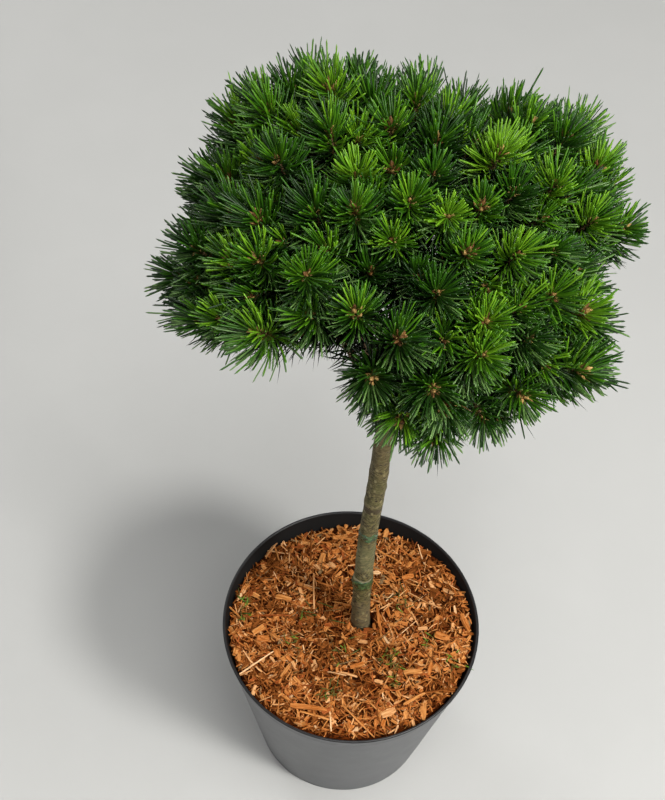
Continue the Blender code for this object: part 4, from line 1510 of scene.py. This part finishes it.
@dataclass
class Crown:
    """The rule that lays out the boughs, the masses and their shoots."""

    stem: Stem
    heart: Vector = field(default_factory=lambda: Vector((5, 14, 570)) * MM)
    reach: Vector = field(default_factory=lambda: Vector((110, 105, 74)) * MM)
    hub_height: float = 500 * MM
    stagger: float = 6 * MM
    start_pull: float = 0.25
    end_pull: float = 0.45
    bough_end: float = 0.46
    stem_end: float = 0.74
    stem_knee: float = 0.4
    forks: Pair = (0.55, 0.97)
    sag: float = 3 * MM
    outreach: float = 2 * MM
    sink: float = 3 * MM
    shoot_count: int = 99
    lowest: float = radians(-12)
    bud_unevenness: float = radians(4)
    reach_unevenness: float = 0.06
    shoot_length: float = 21 * MM
    lift: float = 0.7
    spread: float = 0.5
    side_distance: Pair = (22 * MM, 30 * MM)
    side_spacing: float = 16.5 * MM
    side_reach: Pair = (0.86, 0.97)
    side_trials: int = 14
    side_drop: float = 0.12
    side_lean: float = 0.35
    side_shrink: float = 0.75
    side_forks: Pair = (0.3, 0.6)
    seed: int = 41
    side_seed: int = 44

    def __post_init__(self) -> None:
        """Works out the hub and the hollows, and plans all shoots."""
        self.hub = self.stem.centre(self.hub_height)
        self._hollows, self._swells, self._valleys = (
            [(self.bearing(a, e), radians(r), *gain) for a, e, r, *gain in table]
            for table in (HOLLOWS, SWELLS, VALLEYS)
        )
        self.shoots = self._plan_leaders()
        for name in MASSES:
            self._grow_twigs(name)
        self.shoots += self._plan_sides()

    @staticmethod
    def direction(azimuth: float, elevation: float) -> Vector:
        """A unit vector from two angles in radians."""
        flat = cos(elevation)
        return Vector((cos(azimuth) * flat, sin(azimuth) * flat, sin(elevation)))

    def bearing(self, azimuth: float, elevation: float) -> Vector:
        """A unit vector from two angles in degrees."""
        return self.direction(radians(azimuth), radians(elevation))

    def point(self, direction: Vector, reach: float) -> Vector:
        """The point of the dome in a direction from the heart."""
        return self.heart + Vector(r * d for r, d in zip(self.reach, direction)) * reach

    def heading(self, mass: Mass) -> Vector:
        """The direction of a mass from the heart."""
        return self.bearing(mass.azimuth, mass.elevation)

    def middle(self, mass: Mass) -> Vector:
        """The middle of a mass on the dome."""
        return self.point(self.heading(mass), mass.reach)

    def axis(self, direction: Vector, bud: Vector) -> Vector:
        """The way a shoot heads at a bud: out of the dome, up, and away from the hub."""
        normal = Vector(d / r for d, r in zip(direction, self.reach)).normalized()
        return (normal + UP * self.lift + (bud - self.hub).normalized() * self.spread).normalized()

    def in_hollow(self, direction: Vector) -> bool:
        """Whether a direction lies in one of the hollows where nothing grows."""
        return any(direction.angle(hollow) < radius for hollow, radius in self._hollows)

    def swell(self, direction: Vector) -> float:
        """How far the swells and dips move the dome out in a direction, as a share of its reach."""
        return sum(gain * bump(direction.angle(top), 0.0, radius) for top, radius, gain in self._swells)

    def valley(self, direction: Vector) -> float:
        """How deep a direction lies in a valley between the lobes, as a share of the dome's reach."""
        return max(depth * bump(direction.angle(low), 0.0, radius) for low, radius, depth in self._valleys)

    def _plan_leaders(self) -> list[Shoot]:
        """The buds, spread over the dome by the golden angle, each in the mass it lies nearest to.

        Returns:
            The leaders, without their twigs.
        """
        rng = random.Random(self.seed)
        shoots = []
        for k in range(self.shoot_count):
            rise = mix(1.0, sin(self.lowest), (k + 0.5) / self.shoot_count)
            elevation = asin(rise) + rng.uniform(-1.0, 1.0) * self.bud_unevenness
            azimuth = k * GOLDEN_ANGLE + rng.uniform(-1.0, 1.0) * self.bud_unevenness / cos(elevation)
            growth = 1.0 + rng.uniform(-1.0, 1.0) * self.reach_unevenness
            direction = self.direction(azimuth, elevation)
            if self.in_hollow(direction):
                continue
            name = self._owner(direction)
            depth = self.valley(direction)
            bud = self.point(direction, MASSES[name].reach * growth + self.swell(direction) - depth)
            shoots.append(Shoot(name, Spray.LEADER, bud, self.axis(direction, bud), shade=depth))
        return shoots

    def _owner(self, direction: Vector) -> str:
        """The name of the mass that a direction lies nearest to."""
        return max(MASSES, key=lambda key: direction.dot(self.heading(MASSES[key])))

    def bough(self, name: str, step: int) -> list[Vector]:
        """The control points of a bough, from the trunk's surface to its tip.

        Args:
            name: The name of its mass.
            step: Its place in the order of masses, which staggers the whorl.

        Returns:
            Four points of a Bezier curve.
        """
        mass = MASSES[name]
        height = mass.tier.value + self.stagger * (step % 2)
        centre = self.stem.centre(height)
        target = self.middle(mass)
        outward = Vector((target.x - centre.x, target.y - centre.y, 0.0)).normalized()
        start = centre + outward * (self.stem.radius(height) + 0.3 * MM)
        end = mix(self.hub, target, self.bough_end)
        heading = (target - self.hub).normalized()
        length = (end - start).length
        rise = start + outward * self.start_pull * length
        return [start, rise, end - heading * self.end_pull * length, end]

    def limb(self, name: str) -> list[Vector]:
        """The control points of the stem that carries a bough on into its mass.

        Args:
            name: The name of the mass.

        Returns:
            Three points of a Bezier curve.
        """
        controls = self.bough(name, list(MASSES).index(name))
        start = controls[-1]
        heading = (start - controls[-2]).normalized()
        end = mix(self.hub, self.middle(MASSES[name]), self.stem_end)
        return [start, start + heading * self.stem_knee * (end - start).length, end]

    def _grow_twigs(self, name: str) -> None:
        """Gives each leader of a mass its run from the fork on the stem to the bud.

        Args:
            name: The name of the mass.
        """
        start, knee, end = self.limb(name)
        outward = (end - start).normalized()
        own = [shoot for shoot in self.shoots if shoot.mass == name]
        for k, shoot in enumerate(own):
            fork = bezier([start, knee, end], mix(*self.forks, k / len(own)))
            foot = shoot.bud - shoot.axis * (self.shoot_length - self.sink)
            bend = mix(fork, foot, 0.5) - shoot.axis * self.sag + outward * self.outreach
            shoot.run = [fork, bend, foot, shoot.bud]

    def _plan_sides(self) -> list[Shoot]:
        """Side shoots, each off a leader's twig into the widest gap beside it.

        Returns:
            The side shoots, with their twigs.
        """
        rng = random.Random(self.side_seed)
        taken = [shoot.bud for shoot in self.shoots]
        sides = []
        for leader in list(self.shoots):
            best, widest = None, self.side_spacing
            for trial in range(self.side_trials):
                turn = Matrix.Rotation(TURN * (trial + rng.random()) / self.side_trials, 3, leader.axis)
                flank = turn @ leader.axis.orthogonal().normalized()
                spot = leader.bud + flank * rng.uniform(*self.side_distance)
                offset = Vector((p - h) / r for p, h, r in zip(spot, self.heart, self.reach))
                direction = offset.normalized()
                name = self._owner(direction)
                swollen = MASSES[name].reach + self.swell(direction)
                bud = self.point(direction, swollen * rng.uniform(*self.side_reach) - self.valley(direction))
                room = min((bud - other).length for other in taken)
                hangs = direction.z <= sin(self.lowest) - self.side_drop
                if room > widest and not hangs and not self.in_hollow(direction):
                    best, widest = (direction, bud), room
            if best is None:
                continue
            direction, bud = best
            axis = (self.axis(direction, bud) + (bud - leader.bud).normalized() * self.side_lean).normalized()
            foot = bud - axis * self.shoot_length * self.side_shrink
            fork = bezier(leader.run, rng.uniform(*self.side_forks))
            bend = mix(fork, foot, 0.5) - axis * self.sag
            run = [fork, bend, foot, bud]
            sides.append(Shoot(leader.mass, Spray.SIDE, bud, axis, run, self.valley(direction)))
            taken.append(bud)
        return sides


@dataclass
class Boughs:
    """The bark of the boughs, of the stems that carry them on, and of the twigs."""

    crown: Crown
    base_radius: float = 2.5 * MM
    tip_radius: float = 1.9 * MM
    stem_tip_radius: float = 1.3 * MM
    twig_radius: float = 1.3 * MM
    bud_radius: float = 0.95 * MM
    collar: float = 3.2 * MM
    collar_swell: float = 0.7
    collar_fade: float = 14.0
    root_swell: float = 1.5
    sides: int = 14
    rings: int = 44
    relief: float = 0.22 * MM
    scale_length: float = 2.2 * MM
    stem_sides: int = 10
    stem_steps: int = 20
    twig_sides: int = 7
    twig_points: int = 16
    bud_overlap: float = 2.5
    stem_seed: float = 40.0
    twig_seed: float = 80.0

    def build(self, material: Material) -> None:
        """Models and dresses each bough, then all twigs as one piece.

        Args:
            material: The young bark.
        """
        for step, name in enumerate(MASSES):
            settle(self._bough(name, step, material), "bough_bark", f"bough_{name}")
        twigs = Facets()
        self._stems(twigs)
        self._twigs(twigs)
        settle(twigs.make("twigs", [material]), "bough_bark")

    def _bough(self, name: str, step: int, material: Material) -> Piece:
        """One bough, rooted in the trunk with a collar.

        Args:
            name: The name of its mass.
            step: Its place in the order of masses.
            material: The young bark.

        Returns:
            The bough.
        """
        controls = self.crown.bough(name, step)
        outward = (controls[1] - controls[0]).normalized()
        shares = [k / (self.rings - 1) for k in range(self.rings)]
        centres = [controls[0] - outward * self.collar] + [bezier(controls, s) for s in shares]
        radii = [self.base_radius * self.root_swell]
        for share in shares:
            collar = self.collar_swell * exp(-share * self.collar_fade)
            radii.append(mix(self.base_radius, self.tip_radius, share) * (1.0 + collar))
        piece = Facets()
        self._rough_tube(piece, centres, radii, self.sides, float(step))
        return piece.make(f"bough_bark_{name}", [material])

    def _rough_tube(
        self, pile: Facets, centres: list[Vector], radii: list[float], sides: int, seed: float
    ) -> None:
        """Adds a closed tube whose surface has the scaly relief of young bark.

        Args:
            pile: The mesh that it joins.
            centres: Its centre line.
            radii: Its radius at each of those points.
            sides: How many sides it has.
            seed: A number that varies its relief.
        """
        side = (centres[1] - centres[0]).orthogonal().normalized()
        rows = []
        travelled = 0.0
        for k, centre in enumerate(centres):
            before, after = centres[max(k - 1, 0)], centres[min(k + 1, len(centres) - 1)]
            run = (after - before).normalized()
            side = (side - run * side.dot(run)).normalized()
            across = run.cross(side)
            travelled += (centre - before).length
            row = []
            for i in range(sides):
                angle = TURN * i / sides
                spot = Vector(ring_point(angle, 1.6, travelled / self.scale_length, seed * 5))
                cells = noise.voronoi(spot)[0]
                proud = self.relief * (min(0.6, cells[1] - cells[0]) - 0.2 + 0.6 * noise.noise(spot * 0.35))
                row.append(centre + (side * cos(angle) + across * sin(angle)) * (radii[k] + proud))
            rows.append(row)
        pile.add_rows(rows)

    def _stems(self, pile: Facets) -> None:
        """Adds the stem inside each mass, from the bough's tip on.

        Args:
            pile: The mesh that they join.
        """
        for step, name in enumerate(MASSES):
            controls = self.crown.limb(name)
            shares = [k / self.stem_steps for k in range(self.stem_steps + 1)]
            centres = [bezier(controls, s) for s in shares]
            radii = [mix(self.tip_radius, self.stem_tip_radius, s) for s in shares]
            self._rough_tube(pile, centres, radii, self.stem_sides, self.stem_seed + step)

    def _twigs(self, pile: Facets) -> None:
        """Adds the twig of each shoot, from its fork to its bud.

        Args:
            pile: The mesh that they join.
        """
        for step, shoot in enumerate(self.crown.shoots):
            centres = twig_line(shoot, self.twig_points) + [shoot.bud + shoot.axis * self.bud_overlap * MM]
            last = len(centres) - 1
            radii = [mix(self.twig_radius, self.bud_radius, k / last) for k in range(last + 1)]
            self._rough_tube(pile, centres, radii, self.twig_sides, self.twig_seed + step)


def twig_line(shoot: Shoot, count: int) -> list[Vector]:
    """Evenly shared points of a shoot's twig: a bow up to its foot, then straight to the bud.

    Args:
        shoot: The shoot.
        count: How many points.

    Returns:
        The points, from the fork to the bud.
    """
    fork, bend, foot, bud = shoot.run
    half = count // 2
    bow = [bezier([fork, bend, foot], k / half) for k in range(half)]
    return bow + [mix(foot, bud, k / (count - half - 1)) for k in range(count - half)]


@dataclass(frozen=True)
class SprayHabit:
    """How the needles of one kind of spray stand."""

    pairs: int
    old_pairs: int
    stretch: float
    lengths: Pair
    opening: Pair
    scales: Pair
    sheaths: int
    shares: tuple[float, ...]


HABITS = {
    Spray.LEADER: SprayHabit(
        84, 42, 22 * MM, (20.5 * MM, 13.5 * MM), (104, 31), (0.84, 1.12), 16, (0.06, 0.35, 0.43, 0.16)
    ),
    Spray.SIDE: SprayHabit(
        60, 34, 20 * MM, (19 * MM, 13 * MM), (98, 30), (0.80, 1.06), 8, (0.04, 0.27, 0.47, 0.22)
    ),
}


@dataclass(frozen=True)
class OldGrowth:
    """How old needles stand: openings in degrees, lengths in millimetres, shares of tones, girths."""

    opening: Pair
    lengths: Pair
    tones: dict[Tone, float]
    girths: Pair
    rings: Triple = (0.0, 0.6, 1.0)


TWIG_GROWTH = OldGrowth((60, 110), (15, 22), {Tone.DEEP: 0.22, Tone.OLD: 0.77, Tone.DRY: 0.01}, (0.9, 0.8))
BOUGH_GROWTH = OldGrowth((45, 100), (12, 20), {Tone.DEEP: 0.15, Tone.OLD: 0.85}, (1.1, 0.9))
STEM_GROWTH = OldGrowth((45, 100), (17, 26), {Tone.DEEP: 0.15, Tone.OLD: 0.85}, (1.1, 0.9))


@dataclass
class Whorl:
    """The pairs of needles along a stretch of twig, with a value or a row for each pair.

    Each pair has its share of the way along the line. The rings are shares of the way along each
    needle, its tip included, and each ring but the tip has its girth.
    """

    heading: Vector
    line: Array
    share: Array
    opening: Array
    length: Array
    tones: Array
    foot: int
    rings: tuple[float, ...] = (0.0, 0.12, 0.52, 0.95, 1.0)
    girths: tuple[float, ...] = (0.6, 0.75, 1.0, 0.9)


@dataclass
class Needles:
    """The needles, in pairs round each shoot, with their sheaths and buds."""

    crown: Crown
    low: Vector
    high: Vector
    radius: float = 0.63 * MM
    flatness: float = 0.6
    unevenness: float = 0.14
    opening_unevenness: float = radians(14)
    heading_unevenness: float = 0.2
    incurve: Pair = (0.1, 0.65)
    sway: float = 0.19
    valley_shade_shift: float = 20.0
    valley_shrink: float = 1.2
    stem_pairs: int = 110
    bough_pairs: int = 40
    bough_start: float = 0.45
    twig_points: int = 22
    old_stretch: tuple[int, int] = (3, 16)
    long_share: float = 0.03
    long_stretch: float = 1.22
    pair_angle: float = radians(8)
    turn_unevenness: float = 0.16
    root_offset: float = 0.8
    shrink: float = 0.8
    shrink_steps: int = 3
    girths: Pair = (0.84, 1.16)
    bloom_and_sheen_share: float = 0.52
    bloom_and_sheen_below: float = 0.2
    painted_shade_below: float = 0.1
    painted_light_above: float = 0.7
    pair_triangles: int = 44
    old_pair_triangles: int = 20
    most_triangles: int = 190_000
    growth: float = 3.5 * MM
    bud_share: float = 0.55
    straw_share: float = 0.6
    seed: int = 51

    def build(self, greens: list[Material], tans: list[Material]) -> None:
        """Models and dresses all needles, tier by tier, and then the buds.

        Args:
            greens: The tones of needles.
            tans: The tones of buds and sheaths.
        """
        rng = np.random.default_rng(self.seed)
        buds = Facets(grain=True)
        for tier in Tier:
            names = [name for name, mass in MASSES.items() if mass.tier is tier]
            self._tier(tier, names, greens, buds, rng)
        settle(buds.make("buds", tans), "needles")

    def _tier(self, tier: Tier, names: list[str], greens: list[Material], buds: Facets, rng: Chance) -> None:
        """Joins the needles of a tier's masses in pieces that stay small enough.

        Args:
            tier: The whorl that the masses belong to.
            names: The masses of the tier, in order round the trunk.
            greens: The tones of needles.
            buds: The mesh that sheaths and buds join.
            rng: The source of chance.
        """
        title = f"needles_{tier.name.lower()}"
        piece, owned, number = Facets(), [], 1
        for name in names:
            own = [shoot for shoot in self.crown.shoots if shoot.mass == name]
            habits = [HABITS[shoot.kind] for shoot in own]
            young, old = sum(h.pairs for h in habits), sum(h.old_pairs for h in habits)
            expected = young * self.pair_triangles + old * self.old_pair_triangles
            if owned and piece.triangles + expected > self.most_triangles:
                self._dress(piece, f"{title}_{number}", owned, greens)
                piece, owned, number = Facets(), [], number + 1
            for shoot in own:
                self._spray(shoot, piece, buds, rng)
            self._old_stem(name, piece, rng)
            owned.append(name)
        self._dress(piece, f"{title}_{number}", owned, greens)

    def _dress(self, piece: Facets, name: str, owned: list[str], greens: list[Material]) -> None:
        """Makes a piece of needles, which stands for the foliage of the masses it owns."""
        settle(piece.make(name, greens), "needles", *(f"foliage_{mass}" for mass in owned))

    def _spray(self, shoot: Shoot, piece: Facets, buds: Facets, rng: Chance) -> None:
        """Adds one shoot's needles, young and old, its sheaths and its buds.

        Args:
            shoot: The shoot.
            piece: The mesh that its needles join.
            buds: The mesh that its sheaths and buds join.
            rng: The source of chance.
        """
        habit = HABITS[shoot.kind]
        base = int(rng.choice(4, p=habit.shares))
        # A shoot on the lower tier starts one tone darker. A shoot in a valley is dealt darker tones by the
        # valley's depth, as painted shade
        base += int(MASSES[shoot.mass].tier is Tier.LOWER) + round(shoot.shade * self.valley_shade_shift)
        heading = Vector(np.array(shoot.axis) + rng.normal(0.0, self.heading_unevenness, 3)).normalized()
        scale = rng.uniform(*habit.scales) * (1.0 - self.valley_shrink * shoot.shade)
        bud = shoot.bud + shoot.axis * self.growth
        line = np.array([bud - shoot.axis * habit.stretch * scale, bud])
        share = (np.arange(habit.pairs) + 0.5) / habit.pairs
        opening = np.radians(mix(habit.opening[0], habit.opening[1], share))
        length = mix(habit.lengths[0], habit.lengths[1], share) * scale
        tones = base + rng.choice([-1, 0, 1], (habit.pairs, 1), p=[0.25, 0.5, 0.25])
        # Shoots deep in a valley pass the deep tone and take the near black old one, as painted shade
        tones = np.where(tones > Tone.DEEP + 2, Tone.OLD, np.clip(tones, Tone.YOUNG, Tone.DEEP))
        # The foot band of a shoot's needles is straw, or else the old tone's near black as painted shade in
        # the crowded middle of the shoot
        foot = int(Tone.FOOT) if rng.random() < self.straw_share else int(Tone.OLD)
        self._whorl(piece, Whorl(heading, line, share, opening, length, tones, foot), rng)
        twig = twig_line(shoot, self.twig_points)[slice(*self.old_stretch)]
        self._grow_old(piece, heading, twig, habit.old_pairs, TWIG_GROWTH, rng)
        self._buds(shoot, buds, rng)

    def _old_stem(self, name: str, piece: Facets, rng: Chance) -> None:
        """Adds the old needles on a bough's outer part and on the stem inside its mass.

        Args:
            name: The name of the mass.
            piece: The mesh that they join.
            rng: The source of chance.
        """
        controls = self.crown.bough(name, list(MASSES).index(name))
        outer = [bezier(controls, mix(self.bough_start, 1.0, k / 10)) for k in range(11)]
        inner = [bezier(self.crown.limb(name), k / 12) for k in range(13)]
        parts = ((outer, self.bough_pairs, BOUGH_GROWTH), (inner, self.stem_pairs, STEM_GROWTH))
        for points, count, growth in parts:
            self._grow_old(piece, (points[-1] - points[0]).normalized(), points, count, growth, rng)

    def _grow_old(
        self, piece: Facets, heading: Vector, points: list[Vector], count: int, growth: OldGrowth, rng: Chance
    ) -> None:
        """Adds pairs of old needles along a stretch of wood.

        Args:
            piece: The mesh that they join.
            heading: The way that the stretch faces.
            points: Its centre line.
            count: How many pairs.
            growth: How they stand.
            rng: The source of chance.
        """
        line = np.array([tuple(point) for point in points])
        share = (np.arange(count) + 0.5) / count
        opening = np.radians(rng.uniform(*growth.opening, count))
        length = rng.uniform(*growth.lengths, count) * MM
        tones = rng.choice(list(growth.tones), (count, 1), p=list(growth.tones.values()))
        old = int(Tone.OLD)
        whorl = Whorl(heading, line, share, opening, length, tones, old, growth.rings, growth.girths)
        self._whorl(piece, whorl, rng)

    def _whorl(self, piece: Facets, whorl: Whorl, rng: Chance) -> None:
        """Adds pairs of needles along a stretch of twig, turned by the golden angle.

        Args:
            piece: The mesh that they join.
            whorl: Where and how they stand.
            rng: The source of chance.
        """
        count = len(whorl.share)
        axis = np.array(whorl.heading)
        side = np.array(whorl.heading.orthogonal().normalized())
        across = np.cross(axis, side)
        marks = np.arange(len(whorl.line))
        at = whorl.share * marks[-1]
        roots = np.stack([np.interp(at, marks, column) for column in whorl.line.T], axis=1)
        turn = np.arange(count) * GOLDEN_ANGLE + rng.normal(0.0, self.turn_unevenness, count)
        opening = whorl.opening + rng.uniform(-1.0, 1.0, count) * self.opening_unevenness
        for hand in (-1.0, 1.0):
            apart = self.pair_angle * rng.uniform(0.4, 1.4, count) / np.maximum(np.sin(opening), 0.5)
            around = (turn + hand * apart)[:, None]
            spoke = side * np.cos(around) + across * np.sin(around)
            wide = (opening + hand * rng.uniform(-0.05, 0.05, count))[:, None]
            run = axis * np.cos(wide) + spoke * np.sin(wide)
            long = np.where(rng.random(count) < self.long_share, self.long_stretch, 1.0)
            uneven = 1.0 + rng.uniform(-1.0, 1.0, count) * self.unevenness
            reach = (whorl.length * long * uneven)[:, None]
            sway = np.cross(run, spoke) * rng.normal(0.0, self.sway, (count, 1))
            bend = axis * rng.uniform(*self.incurve, (count, 1)) + sway - UP * rng.uniform(0.0, 0.05)
            bend = bend * reach
            foot = roots + spoke * self.root_offset * MM
            tips = foot + run * reach + bend
            for _ in range(self.shrink_steps):
                outside = np.any((tips < self.low) | (tips > self.high), axis=1, keepdims=True)
                reach = np.where(outside, reach * self.shrink, reach)
                bend = np.where(outside, bend * self.shrink, bend)
                tips = foot + run * reach + bend
            steps = np.array(whorl.rings)[None, :, None]
            centres = foot[:, None] + run[:, None] * reach[:, None] * steps + bend[:, None] * steps**2
            radii = self.radius * np.array(whorl.girths) * rng.uniform(*self.girths, (count, 1))
            roll = unit(np.cross(run, spoke + 0.6 * rng.normal(size=(count, 3))))
            dealt = self._deal(whorl, run[:, 2:], rng)
            piece.add_tubes(centres, radii, roll, TubeForm(3, self.flatness, True), dealt)

    def _deal(self, whorl: Whorl, upward: Array, rng: Chance) -> Array:
        """Deals each stretch of each needle its tone: lighter above and darker below as painted light and
        shade, blue below as waxy bloom and painted sheen, straw or painted shade at its foot.

        Args:
            whorl: The whorl of the needles.
            upward: How far each needle points up, as a column.
            rng: The source of chance.

        Returns:
            A tone for each needle and each of its rings.
        """
        # Needles that point up get one tone lighter as painted light, those that point down one tone darker
        # as painted shade
        shift = np.where(upward < self.painted_shade_below, 1, 0) - np.where(upward > self.painted_light_above, 1, 0)
        turned = np.clip(whorl.tones + shift, Tone.YOUNG, Tone.DEEP)
        # Some needles that point down take the blue tone: partly their waxy bloom, partly a painted sheen
        waxy = (upward < self.bloom_and_sheen_below) & (rng.random(upward.shape) < self.bloom_and_sheen_share)
        turned = np.where(waxy, Tone.BLUE, turned)
        turned = np.where(whorl.tones <= Tone.DEEP, turned, whorl.tones)
        bands = np.repeat(turned, len(whorl.girths) - 1, axis=1)
        return np.concatenate([np.full((len(bands), 1), whorl.foot), bands], axis=1)

    def _buds(self, shoot: Shoot, pile: Facets, rng: Chance) -> None:
        """Adds the buds at the shoot's end, a cluster or a single small one, and the sheaths round it.

        Args:
            shoot: The shoot.
            pile: The mesh that they join.
            rng: The source of chance.
        """
        axis = np.array(shoot.axis)
        side = np.array(shoot.axis.orthogonal().normalized())
        across = np.cross(axis, side)
        tip = np.array(shoot.bud + shoot.axis * self.growth)
        plump = shoot.kind is Spray.LEADER and rng.random() < self.bud_share
        count = int(rng.integers(6, 9)) if plump else 2
        angles = np.arange(count) * TURN / max(count - 1, 1) + rng.uniform(0.0, TURN)
        first = np.arange(count) == 0
        lean = np.where(first, 0.0, rng.uniform(0.45, 0.8, count))[:, None]
        spoke = side * np.cos(angles)[:, None] + across * np.sin(angles)[:, None]
        run = unit(axis + spoke * lean)
        size = rng.uniform(1.05, 1.4) if plump else rng.uniform(0.7, 1.0)
        length = np.where(first, 6.0, rng.uniform(3.8, 5.2, count)) * size * MM
        width = np.where(first, 1.6, rng.uniform(1.1, 1.4, count)) * size * MM
        foot = tip + spoke * lean * 2.6 * MM - axis * 2.0 * MM
        shares = np.array([0.0, 0.16, 0.34, 0.54, 0.76, 1.0])
        centres = foot[:, None] + run[:, None] * (shares[:, None] * length[:, None, None])
        radii = np.array([0.7, 1.0, 0.94, 0.70, 0.38]) * width[:, None]
        paler = (rng.random((count, 1)) < rng.choice([0.15, 0.5, 0.9])).astype(int)
        tones = np.concatenate([np.zeros((count, 3), int), paler, paler], axis=1)
        pile.add_tubes(centres, radii, spoke, TubeForm(6, 1.0, True), tones)

        sheaths = HABITS[shoot.kind].sheaths
        turn = (np.arange(sheaths) * GOLDEN_ANGLE)[:, None] + rng.normal(0.0, 0.2, (sheaths, 1))
        spoke = side * np.cos(turn) + across * np.sin(turn)
        wide = rng.uniform(0.35, 1.0, (sheaths, 1))
        run = axis * np.cos(wide) + spoke * np.sin(wide)
        foot = tip + spoke * 1.1 * MM - axis * rng.uniform(0.0, 5.0, (sheaths, 1)) * MM
        steps = np.array([0.0, 0.5, 1.0])[:, None]
        centres = foot[:, None] + run[:, None] * steps * (rng.uniform(2.0, 3.8, sheaths) * MM)[:, None, None]
        radii = np.broadcast_to(np.array([0.45, 0.5, 0.3]) * MM, (sheaths, 3))
        pile.add_tubes(centres, radii, spoke + across * 0.3, TubeForm(4), np.full(sheaths, 2))


@dataclass(frozen=True)
class Lamp:
    """A soft area light."""

    name: str
    place: Triple
    aim: Triple
    size: float
    power: float
    colour: Colour = (1.0, 1.0, 1.0)

    def build(self) -> None:
        """Puts the light in the scene."""
        data = bpy.data.lights.new(self.name, "AREA")
        data.shape = "DISK"
        data.size = self.size
        data.energy = self.power
        data.color = self.colour
        turn = (Vector(self.place) - Vector(self.aim)).to_track_quat("Z", "Y").to_matrix().to_4x4()
        link(self.name, data).matrix_world = Matrix.Translation(self.place) @ turn


@dataclass
class Studio:
    """The pale floor, the soft light and the camera that looks down on the plant."""

    floor_size: float = 120.0
    sky: Colour = (1.0, 0.99, 0.97)
    sky_strength: float = 0.16
    view: str = "Standard"
    lamps: tuple[Lamp, ...] = (
        Lamp("softbox above", (0.35, -0.45, 2.3), (0.0, 0.0, 0.5), 1.0, 31.0, (1.0, 0.985, 0.96)),
        Lamp("softbox right", (1.35, -0.95, 1.8), (0.0, 0.0, 0.45), 0.55, 49.0, (1.0, 0.98, 0.95)),
        Lamp("softbox front", (-0.15, -1.9, 1.3), (0.0, 0.0, 0.2), 0.5, 8.0),
        Lamp("softbox back", (-1.3, 1.5, 1.5), (0.0, 0.0, 0.5), 0.9, 13.0),
        Lamp("ceiling", (0.0, 0.0, 10.0), (0.0, 0.0, 0.0), 40.0, 720.0),
    )
    camera_place: Triple = (-0.025, -0.567, 1.300)
    camera_dip: float = 56.43
    camera_roll: float = 4.2
    picture_height: float = 800.0
    focal_length: float = 1761.0
    film_height: float = 36.0

    def build(self, floor: Material) -> None:
        """Builds the floor, the lights and the camera.

        Args:
            floor: The floor's finish.
        """
        half = self.floor_size / 2
        mesh = bpy.data.meshes.new("floor")
        corners = [(x, y, 0) for x, y in ((-half, -half), (half, -half), (half, half), (-half, half))]
        mesh.from_pydata(corners, [], [(0, 1, 2, 3)])
        mesh.materials.append(floor)
        link("floor", mesh)
        for lamp in self.lamps:
            lamp.build()
        world = bpy.data.worlds.new("studio")
        bpy.context.scene.world = world
        world.use_nodes = True
        world.node_tree.nodes["Background"].inputs["Color"].default_value = opaque(self.sky)
        world.node_tree.nodes["Background"].inputs["Strength"].default_value = self.sky_strength
        bpy.context.scene.view_settings.view_transform = self.view
        self._camera()

    def _camera(self) -> None:
        """The camera at the picture's viewing angle, with the focal length given in its pixels."""
        data = bpy.data.cameras.new("camera")
        data.sensor_fit = "VERTICAL"
        data.sensor_height = self.film_height
        data.lens = self.focal_length / self.picture_height * self.film_height
        camera = link("camera", data)
        tip = Matrix.Rotation(radians(90.0 - self.camera_dip), 4, "X")
        roll = Matrix.Rotation(radians(self.camera_roll), 4, "Z")
        camera.matrix_world = Matrix.Translation(self.camera_place) @ tip @ roll
        bpy.context.scene.camera = camera


def dress_soil(material: Material) -> None:
    """Gives the packed soil its finish, as its plain shape only shows through the drain holes.

    Args:
        material: The soil's finish.
    """
    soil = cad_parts["soil"]
    soil.data.materials.clear()
    soil.data.materials.append(material)
    log.info("%-24s keeps its packed shape", "soil")


def main() -> None:
    """Builds every piece of the plant and the studio round it."""
    logging.basicConfig(level=logging.INFO, format="%(message)s")
    effects = Effects()
    greens = [finish.build(effects) for finish in NEEDLE_FINISHES]
    chips = [finish.build(effects) for finish in CHIP_FINISHES]
    tans = [finish.build(effects) for finish in BUD_FINISHES]
    Studio().build(FLOOR_FINISH.build(effects))

    pot, stem = Pot(), Stem()
    crown = Crown(stem)
    log.info("%d leaders, %d side shoots", *(sum(s.kind is kind for s in crown.shoots) for kind in Spray))
    pot.build(POT_FINISH.build(effects), POT_INSIDE_FINISH.build(effects))
    dress_soil(SOIL_FINISH.build(effects))
    Mulch(pot, stem).build(BED_FINISH.build(effects), chips, greens)
    trunk = Trunk(stem)
    trunk.build(TRUNK_FINISH.build(effects))
    Ties(trunk).build(TIE_FINISH.build(effects))
    Boughs(crown).build(BOUGH_FINISH.build(effects))
    Needles(crown, *cad_box).build(greens, tans)


if __name__ == "__main__":
    main()
